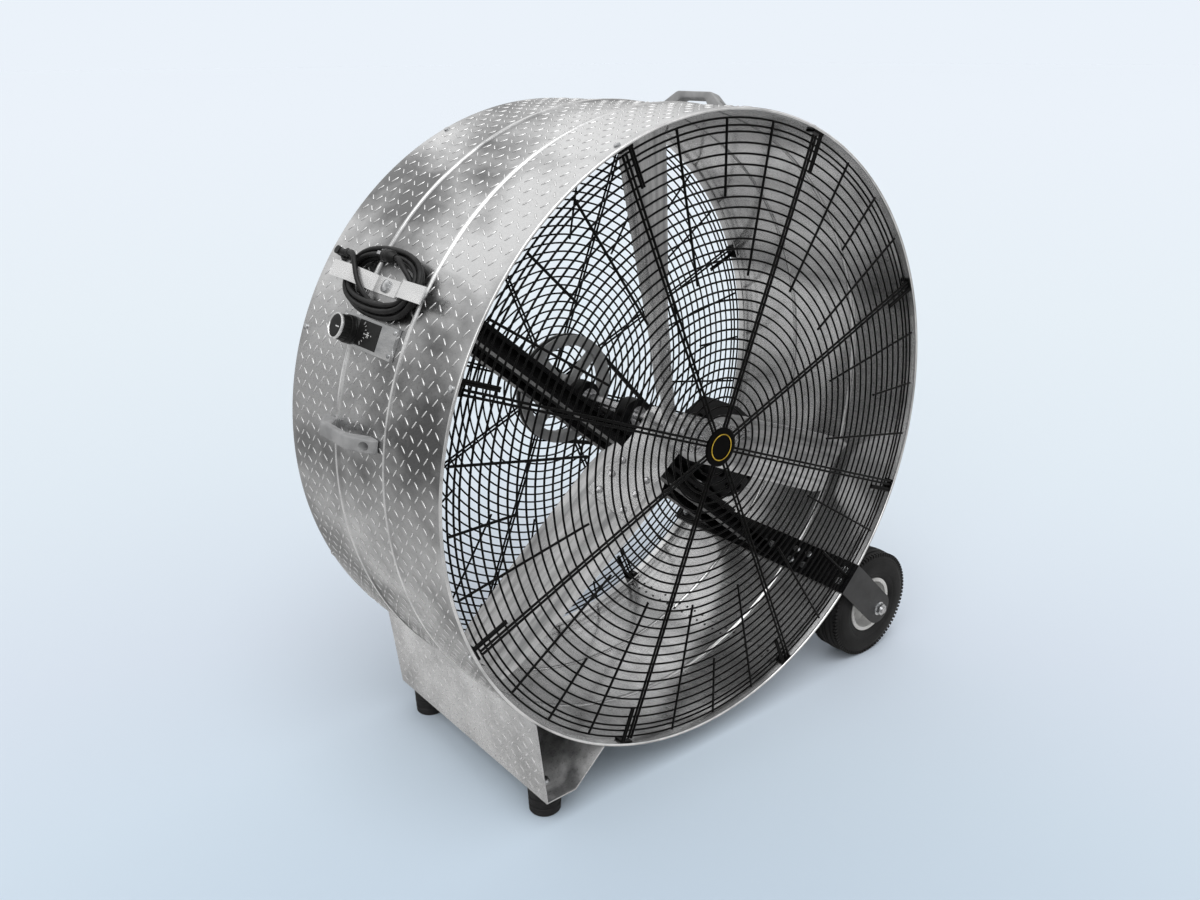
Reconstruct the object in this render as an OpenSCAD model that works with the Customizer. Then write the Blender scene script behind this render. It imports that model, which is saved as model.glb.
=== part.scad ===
// Portable belt-drive drum fan on two feet and two wheels.
// Millimetres, +Z up, front at -Y. The origin is on the floor, under the middle of the whole fan.

/* [Drum] */
// Outer radius of the drum sheet
drum_r = 635; // [610:5:680]
// Depth of the drum from rim to rim
drum_depth = 560; // [550:5:600]
// Thickness of the drum sheet
drum_t = 3; // [2:0.5:4]
// Width of the hem folded inside each rim
hem_w = 24; // [20:1:30]
// Radius of the two rolled beads round the drum
bead_r = 7; // [6:0.5:8]
// Distance of the front bead from the front rim
bead_front = 182; // [178:1:190]
// Distance of the rear bead from the front rim
bead_rear = 363; // [355:1:370]

/* [Guards] */
// Thickness of the ring wires
ring_wire = 4; // [3:0.5:5]
// Thickness of the radial wires
spoke_wire = 5; // [4:0.5:6]
// Spacing of the guard rings
ring_pitch = 19; // [17:0.5:22]
// Radius of the innermost guard ring
first_ring_r = 61; // [50:1:70]
// Number of evenly spaced guard rings
ring_count = 29; // [24:1:29]
// Number of paired spokes, each with one clip at the rim
spoke_count = 8; // [6:1:10]
// Distance of each guard's rings behind its rim
guard_inset = 9; // [8:0.5:9]
// Radius of the badge at the middle of the front guard
badge_r = 40; // [36:1:46]

/* [Fan rotor] */
// Radius of the blade tips
blade_tip_r = 604; // [560:2:606]
// Distance of the blades' middle from the front rim
blade_mid = 152; // [145:1:160]
// Blade chord at the root
root_chord = 163; // [140:1:170]
// Blade chord at the tip
tip_chord = 145; // [110:1:165]
// Blade angle at the root, from the plane of rotation
root_pitch = 36; // [25:1:40]
// Blade angle at the tip
tip_pitch = 10; // [6:1:20]
// Thickness of the blade sheet
blade_t = 2.5; // [2:0.5:4]
// Crown of the blade section past the hub arm
blade_crown = 11; // [4:1:16]
// Radius of the fan shaft
shaft_r = 12.5; // [11:0.5:14]

/* [Belt drive] */
// Radius of the fan pulley
fan_pulley_r = 127; // [115:1:135]
// Radius of the motor pulley
motor_pulley_r = 30; // [27:1:34]
// Distance of the belt's middle from the front rim
belt_line = 507; // [503:1:512]
// Distance of the motor from the fan axis, along the rails
motor_reach = 357; // [345:1:365]
// Radius of the motor's shell
motor_r = 80; // [72:1:83]
// Height of the motor shaft above its feet
motor_shaft_h = 88.9; // [88:0.1:92]

/* [Rails] */
// Height and width of each cross rail
rail_w = 38; // [36:1:42]
// Height of the fan shaft above the rails' top
bearing_h = 36.5; // [34:0.5:40]
// Distance of the front rail's middle from the front rim
front_rail = 268; // [262:1:275]
// Distance of the rear rail's middle from the front rim
rear_rail = 436; // [430:1:440]
// Angle of the rails, falling towards the wheels
rail_fall = 40; // [38:0.5:42]

/* [Wheels and feet] */
// Distance of the wheel axle outside the drum
axle_out = 158; // [150:1:185]
// Angle of the axle below the drum axis
axle_fall = 44.3; // [43:0.1:46]
// Radius of the axle
axle_r = 8; // [7:0.5:9]
// Radius of the tyres
tyre_r = 135; // [125:1:137]
// Width of the tyres
tyre_w = 88; // [80:1:95]
// Radius of the wheel rims
wheel_rim_r = 64; // [58:1:68]
// Width of the saddle bracket that holds the axle
saddle_w = 78; // [76:1:86]
// Thickness of the saddle bracket
saddle_t = 5; // [4:0.5:6]
// Radius of the rubber feet at the floor
foot_r = 34; // [28:1:36]
// Thickness of the base channel
base_t = 3; // [2:0.5:4]

/* [Handles and controls] */
// Length of a grip handle
handle_l = 190; // [170:1:200]
// Height of a grip handle over the drum
handle_h = 42; // [38:1:50]
// Length of the cord cleat
cleat_l = 330; // [320:1:340]
// Width of the cord cleat
cleat_w = 31; // [28:1:34]
// Length of the switch plate along the drum
plate_l = 196; // [190:1:200]
// Width of the switch plate round the drum
plate_w = 57; // [54:1:62]
// Radius of the switch knob
knob_r = 26; // [20:0.5:27]
// Height of the switch knob
knob_h = 30; // [20:1:34]
// Diameter of the power cord
cord_d = 10; // [10:0.5:10.5]

/* [Hidden] */
$fn = 96;

fit = 0.05;              // running and slip fits, on the radius
seat = 0.3;              // gap between a piece and the curved face that it sits by
side_handle_a = 171.8;   // place of the side handle round the drum
handle_w = 26;           // width of a handle round the drum
cut = 4;                 // overrun of a cutting solid
far = drum_r * 4;        // size of a trimming slab

// Heights and the drum's own frame
axle_reach = drum_r + axle_out;
axis_z = axle_reach * sin(axle_fall) + tyre_r;
front_y = -drum_depth / 2;
wheel_side = axle_reach * cos(axle_fall) + tyre_r;                       // reach from the drum axis to +X
handle_side = (drum_r + seat + handle_h) * cos(180 - side_handle_a)
    + handle_w / 2 * sin(180 - side_handle_a);
axis_x = (handle_side - wheel_side) / 2;
wall_r = drum_r - drum_t;                 // smooth inner wall
bead_rise = bead_r - drum_t;              // how far a bead stands out of the sheet
function rad_way(a) = [cos(a), 0, sin(a)];
module polar(a, y = 0) translate([axis_x, front_y + y, axis_z]) rotate([0, -a, 0]) children();
module along(y = 0) translate([axis_x, front_y + y, axis_z]) rotate([-90, 0, 0]) children();

// A bolt that stands on z = 0 with its shank below: hexagon head, washer and shank
module hex_bolt(shank_r, head_h, shank_l) {
    cylinder(r = shank_r * 2.1, h = head_h / 4);
    translate([0, 0, head_h / 4]) cylinder(r = shank_r * 1.8, h = head_h, $fn = 6);
    translate([0, 0, -shank_l]) cylinder(r = shank_r, h = shank_l + head_h / 4);
}

// A screw with a low domed head on z = 0 and its shank below
module dome_screw(shank_r, head_h, shank_l) {
    rotate_extrude() intersection() {
        translate([0, head_h - shank_r * 4]) circle(r = shank_r * 4);
        square([shank_r * 2, head_h]);
    }
    translate([0, 0, -shank_l]) cylinder(r = shank_r, h = shank_l + head_h / 4);
}

// Drum: sheet with two beads and a hem at each rim
screw_r = 3;                              // guard screws
screw_inset = 15;                         // guard screws behind the rim
bolt_r = 4;                               // saddle, rail and handle bolts
row_inset = 20;                           // end rows of saddle bolts behind the rims
row_step = 38;                            // spacing of the two rows before the front bead
row_gap = 14;                             // bolt rows beside a bead or a rail flange
saddle_step = 15;                         // saddle bolts, half their spacing round the drum
module drum_section() {
    difference() {
        union() {
            translate([wall_r, drum_t]) square([drum_t, drum_depth - drum_t * 2]);
            for (b = [bead_front, bead_rear]) translate([wall_r, b]) intersection() {
                circle(r = bead_r);
                translate([0, -bead_r]) square([bead_r, bead_r * 2]);
            }
            for (e = [drum_t, drum_depth - drum_t]) translate([wall_r, e]) circle(r = drum_t);
            translate([wall_r - drum_t, drum_t]) square([drum_t, hem_w - drum_t]);
            translate([wall_r - drum_t, drum_depth - hem_w]) square([drum_t, hem_w - drum_t]);
        }
        for (b = [bead_front, bead_rear]) translate([wall_r, b]) circle(r = bead_rise);
    }
}
module wall_hole(a, y, r) polar(a, y) rotate([0, 90, 0])
    translate([0, 0, wall_r - drum_t - cut]) cylinder(r = r, h = drum_t * 2 + bead_rise + cut * 2);
module drum_shell() {
    color("lightgray") difference() {
        along() rotate_extrude() drum_section();
        for (k = [0 : spoke_count - 1], y = [screw_inset, drum_depth - screw_inset])
            wall_hole(clip_angle + k * 360 / spoke_count, y, screw_r + fit * 4);
        for (y = saddle_rows, s = [-1, 1])
            polar(-axle_fall, y) translate([0, 0, s * saddle_step]) rotate([0, 90, 0])
                translate([0, 0, wall_r - drum_t * 3]) cylinder(r = bolt_r + fit * 4, h = drum_t * 5);
        for (y = [front_rail, rear_rail], s = [-1, 1])
            polar(rail_left_a, y + s * rail_bolt_y) rotate([0, 90, 0])
                translate([0, 0, wall_r - cut]) cylinder(r = bolt_r + fit * 4, h = drum_t + cut * 2);
        wall_hole(knob_a, knob_y, knob_stem_r + seat);
        wall_hole(gland_a, gland_y, gland_r + fit);
    }
}

// Base channel: folded tread plate under the left side, and its feet
base_top_left = [-0.722, -0.690];         // shares of the drum radius, from the drum axis
base_low_left_share = -0.687;
base_plate_share = -0.985;
base_low_right_share = -0.583;
base_top_right_share = [-0.470, -0.884];
foot_h = axis_z + base_plate_share * drum_r - base_t;
foot_x = (base_low_left_share + base_low_right_share) / 2 * drum_r;
foot_edge = 24;                           // a foot's edge from the channel's end
foot_in = foot_r + foot_edge;
foot_bolt_r = 5;
module base_outline(g) {
    // g grows the outline by the sheet's thickness
    polygon([[base_top_left[0] * drum_r - g, base_top_left[1] * drum_r],
        [base_low_left_share * drum_r - g, base_plate_share * drum_r - g],
        [base_low_right_share * drum_r + g / 2, base_plate_share * drum_r - g],
        [base_top_right_share[0] * drum_r + g, base_top_right_share[1] * drum_r],
        [base_top_right_share[0] * drum_r, 0], [base_top_left[0] * drum_r, 0]]);
}
module base_channel() {
    color("silver") difference() {
        translate([axis_x, front_y + drum_depth, axis_z]) rotate([90, 0, 0])
            linear_extrude(drum_depth) difference() {
                base_outline(base_t);
                base_outline(0);
            }
        along(-cut) cylinder(r = drum_r + seat, h = drum_depth + cut * 2);
        for (b = [bead_front, bead_rear]) along(b)
            rotate_extrude() translate([wall_r, 0]) circle(r = bead_r + seat);
        for (y = [foot_in, drum_depth - foot_in])
            translate([axis_x + foot_x, front_y + y, 0])
                cylinder(r = foot_bolt_r + fit * 4, h = foot_h + base_t + cut);
    }
}
module foot() {
    waist = foot_h * 0.62;
    color([0.08, 0.08, 0.08]) difference() {
        union() {
            cylinder(r1 = foot_r * 0.94, r2 = foot_r, h = waist);
            translate([0, 0, waist]) cylinder(r = foot_r, h = foot_h - waist);
        }
        translate([0, 0, foot_h * 0.3]) cylinder(r = foot_bolt_r + fit, h = foot_h);
    }
}
module front_foot() translate([axis_x + foot_x, front_y + foot_in, 0]) foot();
module rear_foot() translate([axis_x + foot_x, front_y + drum_depth - foot_in, 0]) foot();
module foot_bolts() {
    color("silver") for (y = [foot_in, drum_depth - foot_in])
        translate([axis_x + foot_x, front_y + y, foot_h + base_t])
            hex_bolt(foot_bolt_r, foot_bolt_r, foot_h * 0.6);
}

// Wheel saddle: one strap, flat along the inner wall, with an ear out over each rim
saddle_x = sqrt(pow(wall_r - drum_t, 2) - pow(saddle_w / 2, 2)) - seat;   // the web's outer face
ear_gap = 1;                              // between an ear and the rim
ear_front = -ear_gap - saddle_t;          // outer face of the front ear, from the front rim
ear_rear = drum_depth + ear_gap + saddle_t;
module saddle_ear(y) {
    translate([saddle_x - saddle_t, y, -saddle_w / 2])
        cube([axle_reach - saddle_x + saddle_t, saddle_t, saddle_w]);
    translate([axle_reach, y, 0]) rotate([-90, 0, 0]) cylinder(r = saddle_w / 2, h = saddle_t);
}
module wheel_saddle() {
    color([0.25, 0.25, 0.26]) polar(-axle_fall) difference() {
        union() {
            translate([saddle_x - saddle_t, ear_front, -saddle_w / 2])
                cube([saddle_t, ear_rear - ear_front, saddle_w]);
            saddle_ear(ear_front);
            saddle_ear(ear_rear - saddle_t);
        }
        translate([axle_reach, ear_front - cut, 0]) rotate([-90, 0, 0])
            cylinder(r = axle_r + fit, h = ear_rear - ear_front + cut * 2);
        for (y = saddle_rows, s = [-1, 1]) translate([saddle_x - saddle_t - cut, y, s * saddle_step])
            rotate([0, 90, 0]) cylinder(r = bolt_r + fit * 4, h = saddle_t + cut * 2);
        for (y = [front_rail, rear_rail], s = [-1, 1])
            translate([saddle_x - saddle_t - cut, y + s * rail_bolt_y, 0])
                rotate([0, 90, 0]) cylinder(r = bolt_r + fit * 4, h = saddle_t + cut * 2);
    }
}
saddle_head = 6;
module saddle_bolts() {
    color("silver") for (y = saddle_rows, s = [-1, 1])
        polar(-axle_fall, y) translate([saddle_x - saddle_t, 0, s * saddle_step]) rotate([0, -90, 0])
            hex_bolt(bolt_r, saddle_head, drum_r - saddle_x + saddle_t + saddle_head * 1.5);
    color("silver") for (y = saddle_rows, s = [-1, 1])
        polar(-axle_fall, y) translate([drum_r + seat, 0, s * saddle_step]) rotate([0, 90, 0])
            difference() {
                cylinder(r = bolt_r * 1.8, h = saddle_head, $fn = 6);
                translate([0, 0, -cut]) cylinder(r = bolt_r + fit, h = saddle_head + cut * 2);
            }
}

// Axle, wheels and tyres
wheel_gap = 12;                           // ear to tyre
front_wheel_y = ear_front + saddle_t + wheel_gap + ear_gap + tyre_w / 2;
rear_wheel_y = drum_depth + ear_gap - wheel_gap - ear_gap - tyre_w / 2;
hub_w = 64;                               // wheel hub length
hub_r = 19;
side_play = 0.4;
axle_end = 16;                            // axle past each ear
nut_r = 15;
nut_h = 11;
module at_axle(y) polar(-axle_fall, y) translate([axle_reach, 0, 0]) rotate([-90, 0, 0]) children();
module wheel_axle() color("silver") at_axle(ear_front - axle_end)
    cylinder(r = axle_r, h = ear_rear - ear_front + axle_end * 2);
module axle_nuts() {
    color("silver") for (y = [ear_front - nut_h, ear_rear]) at_axle(y) difference() {
        union() {
            cylinder(r = nut_r, h = nut_h, $fn = 6);
            translate([0, 0, y < 0 ? nut_h - nut_h / 6 : 0]) cylinder(r = nut_r * 1.15, h = nut_h / 6);
        }
        translate([0, 0, -cut]) cylinder(r = axle_r + fit, h = nut_h + cut * 2);
    }
}
spacer_wall = 4;
module spacer(y0, y1) at_axle(y0) difference() {
    cylinder(r = axle_r + spacer_wall, h = y1 - y0);
    translate([0, 0, -cut]) cylinder(r = axle_r + fit, h = y1 - y0 + cut * 2);
}
module axle_spacers() {
    color("dimgray") {
        spacer(ear_front + saddle_t, front_wheel_y - hub_w / 2 - side_play);
        spacer(front_wheel_y + hub_w / 2 + side_play, rear_wheel_y - hub_w / 2 - side_play);
        spacer(rear_wheel_y + hub_w / 2 + side_play, ear_rear - saddle_t);
    }
}
rim_w = tyre_w * 0.72;
rim_lip = 5;                              // rim flange over the rim, beside the tyre
rim_web = 4;
module tyre() {
    color([0.09, 0.09, 0.09]) rotate_extrude() difference() {
        translate([tyre_r - tyre_w / 2, 0]) circle(r = tyre_w / 2);
        translate([-tyre_r, -tyre_w]) square([tyre_r + wheel_rim_r + seat, tyre_w * 2]);
        for (s = [-1, 1]) translate([0, s * (rim_w / 2 - seat + tyre_w / 2) - tyre_w / 2])
            square([wheel_rim_r + rim_lip + seat, tyre_w]);
    }
}
module wheel() {
    hole_r = (wheel_rim_r - hub_r) / 5;
    color("gainsboro") difference() {
        union() {
            cylinder(r = hub_r, h = hub_w, center = true);
            cylinder(r = wheel_rim_r - rim_web / 2, h = rim_web, center = true);
            difference() {
                union() {
                    cylinder(r = wheel_rim_r, h = rim_w, center = true);
                    for (s = [-1, 1]) translate([0, 0, s * (rim_w / 2 + rim_web / 2)])
                        cylinder(r = wheel_rim_r + rim_lip, h = rim_web, center = true);
                }
                cylinder(r = wheel_rim_r - rim_web, h = rim_w + rim_web * 3, center = true);
            }
        }
        cylinder(r = axle_r + fit, h = hub_w + cut, center = true);
        for (k = [0 : 4]) rotate(k * 72) translate([(hub_r + wheel_rim_r) / 2, 0, 0])
            cylinder(r = hole_r, h = rim_web + cut, center = true);
    }
}
module front_tyre() at_axle(front_wheel_y) tyre();
module front_wheel() at_axle(front_wheel_y) wheel();
module rear_tyre() at_axle(rear_wheel_y) tyre();
module rear_wheel() at_axle(rear_wheel_y) wheel();

// Cross rails: two lipped channels from the left wall to the saddle web
rail_t = 3;
rail_lip = 9;
rail_mid_v = -bearing_h - rail_w / 2;     // the rails' middle under the shaft axis
rail_left_a = 180 - rail_fall + asin(-rail_mid_v / wall_r);
flange_t = 5;
flange_w = 58;                            // end flange round the drum
flange_room = 11;                         // flange bolts from the rail's side and the flange's end
rail_bolt_y = rail_w / 2 + flange_room;   // flange bolts from the rail's middle
flange_l = (rail_bolt_y + flange_room) * 2;
saddle_rows = [row_inset, bead_front - row_gap - row_step, bead_front - row_gap,
    bead_rear - bead_r - row_gap - bolt_r, rear_rail + flange_l / 2 + row_gap * 1.5,
    drum_depth - row_inset];
left_seat = sqrt(pow(wall_r, 2) - pow(flange_w / 2, 2)) - seat;
module rail_frame(y = 0) translate([axis_x, front_y + y, axis_z]) rotate([0, rail_fall, 0]) children();
module rail_section() {
    // x along Y of the drum, y upwards; open to the front
    difference() {
        square(rail_w, center = true);
        square(rail_w - rail_t * 2, center = true);
        translate([-rail_w, -rail_w / 2 + rail_lip]) square([rail_w, rail_w - rail_lip * 2]);
    }
}
module cross_rail(y) {
    color([0.07, 0.07, 0.07]) difference() {
        union() {
            difference() {
                rail_frame(y) translate([-drum_r, 0, rail_mid_v]) rotate([90, 0, 90])
                    linear_extrude(drum_r * 2) rail_section();
                polar(rail_left_a, y) translate([left_seat - flange_t / 2, -far / 2, -far / 2]) cube(far);
                polar(-axle_fall, y) translate([saddle_x - saddle_t - flange_t / 2, -far / 2, -far / 2])
                    cube(far);
            }
            polar(rail_left_a, y) translate([left_seat - flange_t, -flange_l / 2, -flange_w / 2])
                cube([flange_t, flange_l, flange_w]);
            polar(-axle_fall, y) translate([saddle_x - saddle_t - flange_t, -flange_l / 2, -flange_w / 2])
                cube([flange_t, flange_l, flange_w]);
        }
        for (s = [-1, 1]) polar(rail_left_a, y + s * rail_bolt_y) rotate([0, 90, 0])
            translate([0, 0, left_seat - flange_t - cut])
                cylinder(r = bolt_r + fit * 4, h = flange_t + cut * 2);
        for (s = [-1, 1]) polar(-axle_fall, y + s * rail_bolt_y) rotate([0, 90, 0])
            translate([0, 0, saddle_x - saddle_t - flange_t - cut])
                cylinder(r = bolt_r + fit * 4, h = flange_t + cut * 2);
        for (u = [-bearing_bolt, bearing_bolt, motor_reach - foot_step, motor_reach + foot_step])
            rail_frame(y) translate([u, 0, -bearing_h - rail_w / 2])
                cylinder(r = bolt_r + fit * 4, h = rail_w / 2 + cut);
    }
}
module front_cross_rail() cross_rail(front_rail);
module rear_cross_rail() cross_rail(rear_rail);
rail_head = 5;
module rail_bolts() {
    color("silver") for (y = [front_rail, rear_rail], s = [-1, 1]) {
        polar(rail_left_a, y + s * rail_bolt_y) translate([left_seat - flange_t, 0, 0]) rotate([0, -90, 0])
            hex_bolt(bolt_r, rail_head, drum_r - left_seat + flange_t - seat);
        polar(-axle_fall, y + s * rail_bolt_y) translate([saddle_x - saddle_t - flange_t, 0, 0])
            rotate([0, -90, 0]) hex_bolt(bolt_r, rail_head, flange_t + saddle_t - seat);
    }
}

// Bearings: pillow blocks on the rails
bearing_bolt = 52;                        // bearing bolts from the shaft, along the rail
block_r = 35;
block_w = 30;
race_r = 20;
module pillow_block(y) {
    color([0.10, 0.10, 0.11]) rail_frame(y) difference() {
        union() {
            rotate([90, 0, 0]) cylinder(r = block_r, h = block_w, center = true);
            translate([-bearing_bolt * 1.35, -rail_w / 2, -bearing_h])
                cube([bearing_bolt * 2.7, rail_w, bearing_h / 3]);
        }
        rotate([90, 0, 0]) cylinder(r = race_r + fit, h = rail_w * 2, center = true);
        for (s = [-1, 1]) translate([s * bearing_bolt, 0, -bearing_h - cut])
            cylinder(r = bolt_r + fit * 4, h = bearing_h);
        translate([-far / 2, -far / 2, -bearing_h - far]) cube(far);
    }
}
module front_bearing() pillow_block(front_rail);
module rear_bearing() pillow_block(rear_rail);
module bearing_bolts() {
    color("silver") for (y = [front_rail, rear_rail], s = [-1, 1])
        rail_frame(y) translate([s * bearing_bolt, 0, -bearing_h * 2 / 3])
            hex_bolt(bolt_r, bolt_r * 1.2, bearing_h / 3 + rail_t * 2.5);
}

// Rotor: shaft, collars, hub, blades and pulley, turning together
hub_l = 92;
boss_r = 34;
arm_r = 212;                              // reach of the hub arms
arm_w = 100;
arm_t = 5;
shaft_nose = 8;                           // shaft past the hub
shaft_tail = 22;                          // shaft past the belt's middle
shaft_front = blade_mid - hub_l / 2 - shaft_nose;
shaft_rear = belt_line + shaft_tail;
blade_a0 = 97.8;
module fan_shaft() color("dimgray") along(shaft_front) cylinder(r = shaft_r, h = shaft_rear - shaft_front);
collar_out = 4;                           // collar past the rail's width at each end
collar_lip = [2, 3];                      // height and width of a collar's lip
collar_l = rail_w + collar_out * 2;
module bearing_collars() {
    color("silver") for (y = [front_rail, rear_rail]) along(y - collar_l / 2) difference() {
        union() {
            cylinder(r = race_r, h = collar_l);
            for (z = [0, collar_l - collar_lip[1]]) translate([0, 0, z])
                cylinder(r = race_r + collar_lip[0], h = collar_lip[1]);
        }
        translate([0, 0, -cut]) cylinder(r = shaft_r + fit, h = collar_l + cut * 2);
    }
}
module fan_hub() {
    color("gray") difference() {
        union() {
            along(blade_mid - hub_l / 2) cylinder(r = boss_r, h = hub_l);
            for (k = [0 : 2]) polar(blade_a0 + k * 120, blade_mid) rotate([root_pitch, 0, 0])
                translate([0, -arm_t - blade_t / 2, -arm_w / 2]) cube([arm_r, arm_t, arm_w]);
        }
        along(blade_mid - hub_l) cylinder(r = shaft_r + fit, h = hub_l * 2);
    }
}

// A blade: flat at the hub arm, then twisted and crowned to the tip
root_r = 96;                              // inner edge of the blade sheet
stations = 14;
steps = 8;
function blade_s(i) = i / stations;
function blade_r(i) = root_r + (blade_tip_r - root_r) * blade_s(i);
function twist_share(i) = max(0, (blade_r(i) - arm_r) / (blade_tip_r - arm_r));
function blade_pitch(i) = root_pitch + (tip_pitch - root_pitch) * twist_share(i);
function blade_chord(i) = root_chord + (tip_chord - root_chord) * blade_s(i);
function crown(i) = blade_crown * min(1, twist_share(i) * 3);
function edge_share(i) = i == 0 ? 0.80 : i == 1 ? 0.95 : i == stations ? 0.88 : 1;
function blade_point(i, j, s) =
    let (c = blade_chord(i) * edge_share(i), w = (j / steps - 0.5) * c, q = 1 - pow(2 * j / steps - 1, 2),
        h = crown(i) * q + s * blade_t / 2, p = blade_pitch(i))
    [blade_r(i), -w * sin(p) + h * cos(p), w * cos(p) + h * sin(p)];
blade_ring = [for (j = [0 : steps]) [j, -1], for (j = [steps : -1 : 0]) [j, 1]];
ring_n = len(blade_ring);
module blade(k) {
    pts = [for (i = [0 : stations]) for (e = blade_ring) blade_point(i, e[0], e[1])];
    last = stations * ring_n;
    faces = concat(
        [for (i = [0 : stations - 1]) for (j = [0 : ring_n - 1]) let (n = (j + 1) % ring_n)
            each [[i * ring_n + j, (i + 1) * ring_n + j, (i + 1) * ring_n + n],
                [i * ring_n + j, (i + 1) * ring_n + n, i * ring_n + n]]],
        [for (j = [0 : steps - 1]) each [[j, j + 1, ring_n - 2 - j], [j, ring_n - 2 - j, ring_n - 1 - j]]],
        [for (j = [0 : steps - 1]) each [[last + j + 1, last + j, last + ring_n - 1 - j],
            [last + j + 1, last + ring_n - 1 - j, last + ring_n - 2 - j]]]);
    color("lightsteelblue") polar(blade_a0 + k * 120, blade_mid) polyhedron(points = pts, faces = faces);
}
module blade_a() blade(0);
module blade_b() blade(1);
module blade_c() blade(2);
rivet_r = 4;
rivet_in = [22, 16];                      // end rivets from the sheet's edge and from the arm's end
rivet_rows = [root_r + rivet_in[0], (root_r + arm_r) / 2, arm_r - rivet_in[1]];
module blade_rivets() {
    color("silver") for (k = [0 : 2], x = rivet_rows, s = [-1, 1])
        polar(blade_a0 + k * 120, blade_mid) rotate([root_pitch, 0, 0])
            translate([x, blade_t / 2, s * arm_w * 0.32]) rotate([-90, 0, 0])
                dome_screw(rivet_r, rivet_r * 0.7, 0);
    color("silver") for (k = [0 : 2], x = rivet_rows, s = [-1, 1])
        polar(blade_a0 + k * 120, blade_mid) rotate([root_pitch, 0, 0])
            translate([x, -blade_t / 2 - arm_t, s * arm_w * 0.32]) rotate([90, 0, 0])
                dome_screw(rivet_r, rivet_r * 0.7, 0);
}

// V-pulley: rim with a groove, flat arms and a hub; r is its outer radius
belt_w = 13;
belt_t = 9;
belt_gap = 0.4;
belt_foot = 0.31;                         // half the belt's narrow side, as a share of its width
pulley_w = 22;
rim_depth = 24;
groove_extra = 3;                         // groove below the belt
module pulley_rim(r) {
    // section of a grooved rim about the z axis
    foot = belt_w * belt_foot + belt_gap;
    mouth = belt_w / 2 + belt_gap;
    polygon([[r - rim_depth, -pulley_w / 2], [r, -pulley_w / 2], [r, -mouth],
        [r - belt_t, -foot], [r - belt_t - groove_extra, -foot], [r - belt_t - groove_extra, foot],
        [r - belt_t, foot], [r, mouth], [r, pulley_w / 2], [r - rim_depth, pulley_w / 2]]);
}
pulley_hub_r = 32;
pulley_hub_out = 8;                       // hub past the rim at each side
arm_in = 20;                              // arm's end inside the rim
pulley_arm = [fan_pulley_r - arm_in, 26, 10];   // length, width and thickness of an arm
arm_a0 = 40;
module fan_pulley() {
    color("gray") along(belt_line) difference() {
        union() {
            rotate_extrude() pulley_rim(fan_pulley_r);
            cylinder(r = pulley_hub_r, h = pulley_w + pulley_hub_out * 2, center = true);
            for (k = [0 : 3]) rotate(-arm_a0 + k * 90) translate([0, -pulley_arm.y / 2, -pulley_arm.z / 2])
                cube(pulley_arm);
        }
        cylinder(r = shaft_r + fit, h = pulley_w * 3, center = true);
    }
}

// Motor on the rails
foot_step = 62;                           // motor bolts from its middle, along the rail
motor_nose = 34;                          // motor past the front rail's middle
motor_tail = 30;                          // motor past the rear rail's middle
motor_front = front_rail - motor_nose;
motor_back = rear_rail + motor_tail;
motor_v = motor_shaft_h - bearing_h;      // motor axis over the fan axis line
base_plate_t = 5;
base_side = 20;                           // base plate past its bolts
cradle_u = 36;                            // cradle walls from the motor's middle
cradle_t = 6;
cradle_share = 0.80;                      // how far the cradle stops below the motor axis, of its radius
bell_l = 34;
motor_shaft_r = 8;
module motor_at(y) rail_frame(y) translate([motor_reach, 0, motor_v]) rotate([-90, 0, 0]) children();
cradle_h = motor_v + bearing_h - motor_r * cradle_share;
module motor_base() {
    color([0.08, 0.08, 0.08]) rail_frame() difference() {
        union() {
            translate([motor_reach - foot_step - base_side, front_rail - rail_w / 2, -bearing_h])
                cube([(foot_step + base_side) * 2, rear_rail - front_rail + rail_w, base_plate_t]);
            for (s = [-1, 1])
                translate([motor_reach + s * cradle_u - cradle_t / 2, front_rail, 0])
                    translate([0, 0, -bearing_h + base_plate_t / 2])
                        cube([cradle_t, rear_rail - front_rail, cradle_h]);
        }
        translate([motor_reach, 0, motor_v]) rotate([-90, 0, 0])
            cylinder(r = motor_r + fit, h = drum_depth);
        for (s = [-1, 1], y = [front_rail, rear_rail])
            translate([motor_reach + s * foot_step, y, -bearing_h - cut])
                cylinder(r = bolt_r + fit * 4, h = base_plate_t + cut * 2);
    }
}
shell_t = 12;                             // shell with its windings
bell_lap = 4;                             // bell into the shell
bell_t = 10;                              // wall of a bell's rim
module motor_shell() {
    color([0.09, 0.09, 0.10]) motor_at(motor_front + bell_l) difference() {
        cylinder(r = motor_r, h = motor_back - motor_front - bell_l * 2);
        translate([0, 0, -cut]) cylinder(r = motor_r - shell_t, h = motor_back - motor_front);
    }
}
module bell() {
    // z = 0 meets the shell, closed end at z = bell_l
    difference() {
        rotate_extrude() polygon([[0, 0], [motor_r - shell_t - seat, 0],
            [motor_r - shell_t - seat, bell_lap], [motor_r, bell_lap], [motor_r, bell_l * 0.5],
            [motor_r * 0.86, bell_l * 0.9], [motor_r * 0.5, bell_l], [0, bell_l]]);
        translate([0, 0, -cut]) cylinder(r = motor_r - shell_t - bell_t, h = bell_l * 0.55 + cut);
        cylinder(r = motor_shaft_r + fit, h = bell_l + cut);
        for (k = [0 : 7]) rotate(k * 45) translate([motor_r * 0.66, 0, bell_l * 0.3])
            cylinder(r = motor_r * 0.12, h = bell_l);
    }
}
module motor_end_bells() {
    color([0.09, 0.09, 0.10]) {
        motor_at(motor_back - bell_l - bell_lap) bell();
        motor_at(motor_front + bell_l + bell_lap) rotate([180, 0, 0]) bell();
    }
}
motor_box_w = 96;
motor_box_h = 74;
box_low_share = 0.5;                      // the box's foot over the motor axis, of the motor's radius
box_in = 12;                              // how far its top is drawn in at each side
box_front = front_rail + 20;
box_rear = rear_rail - 6;
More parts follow.
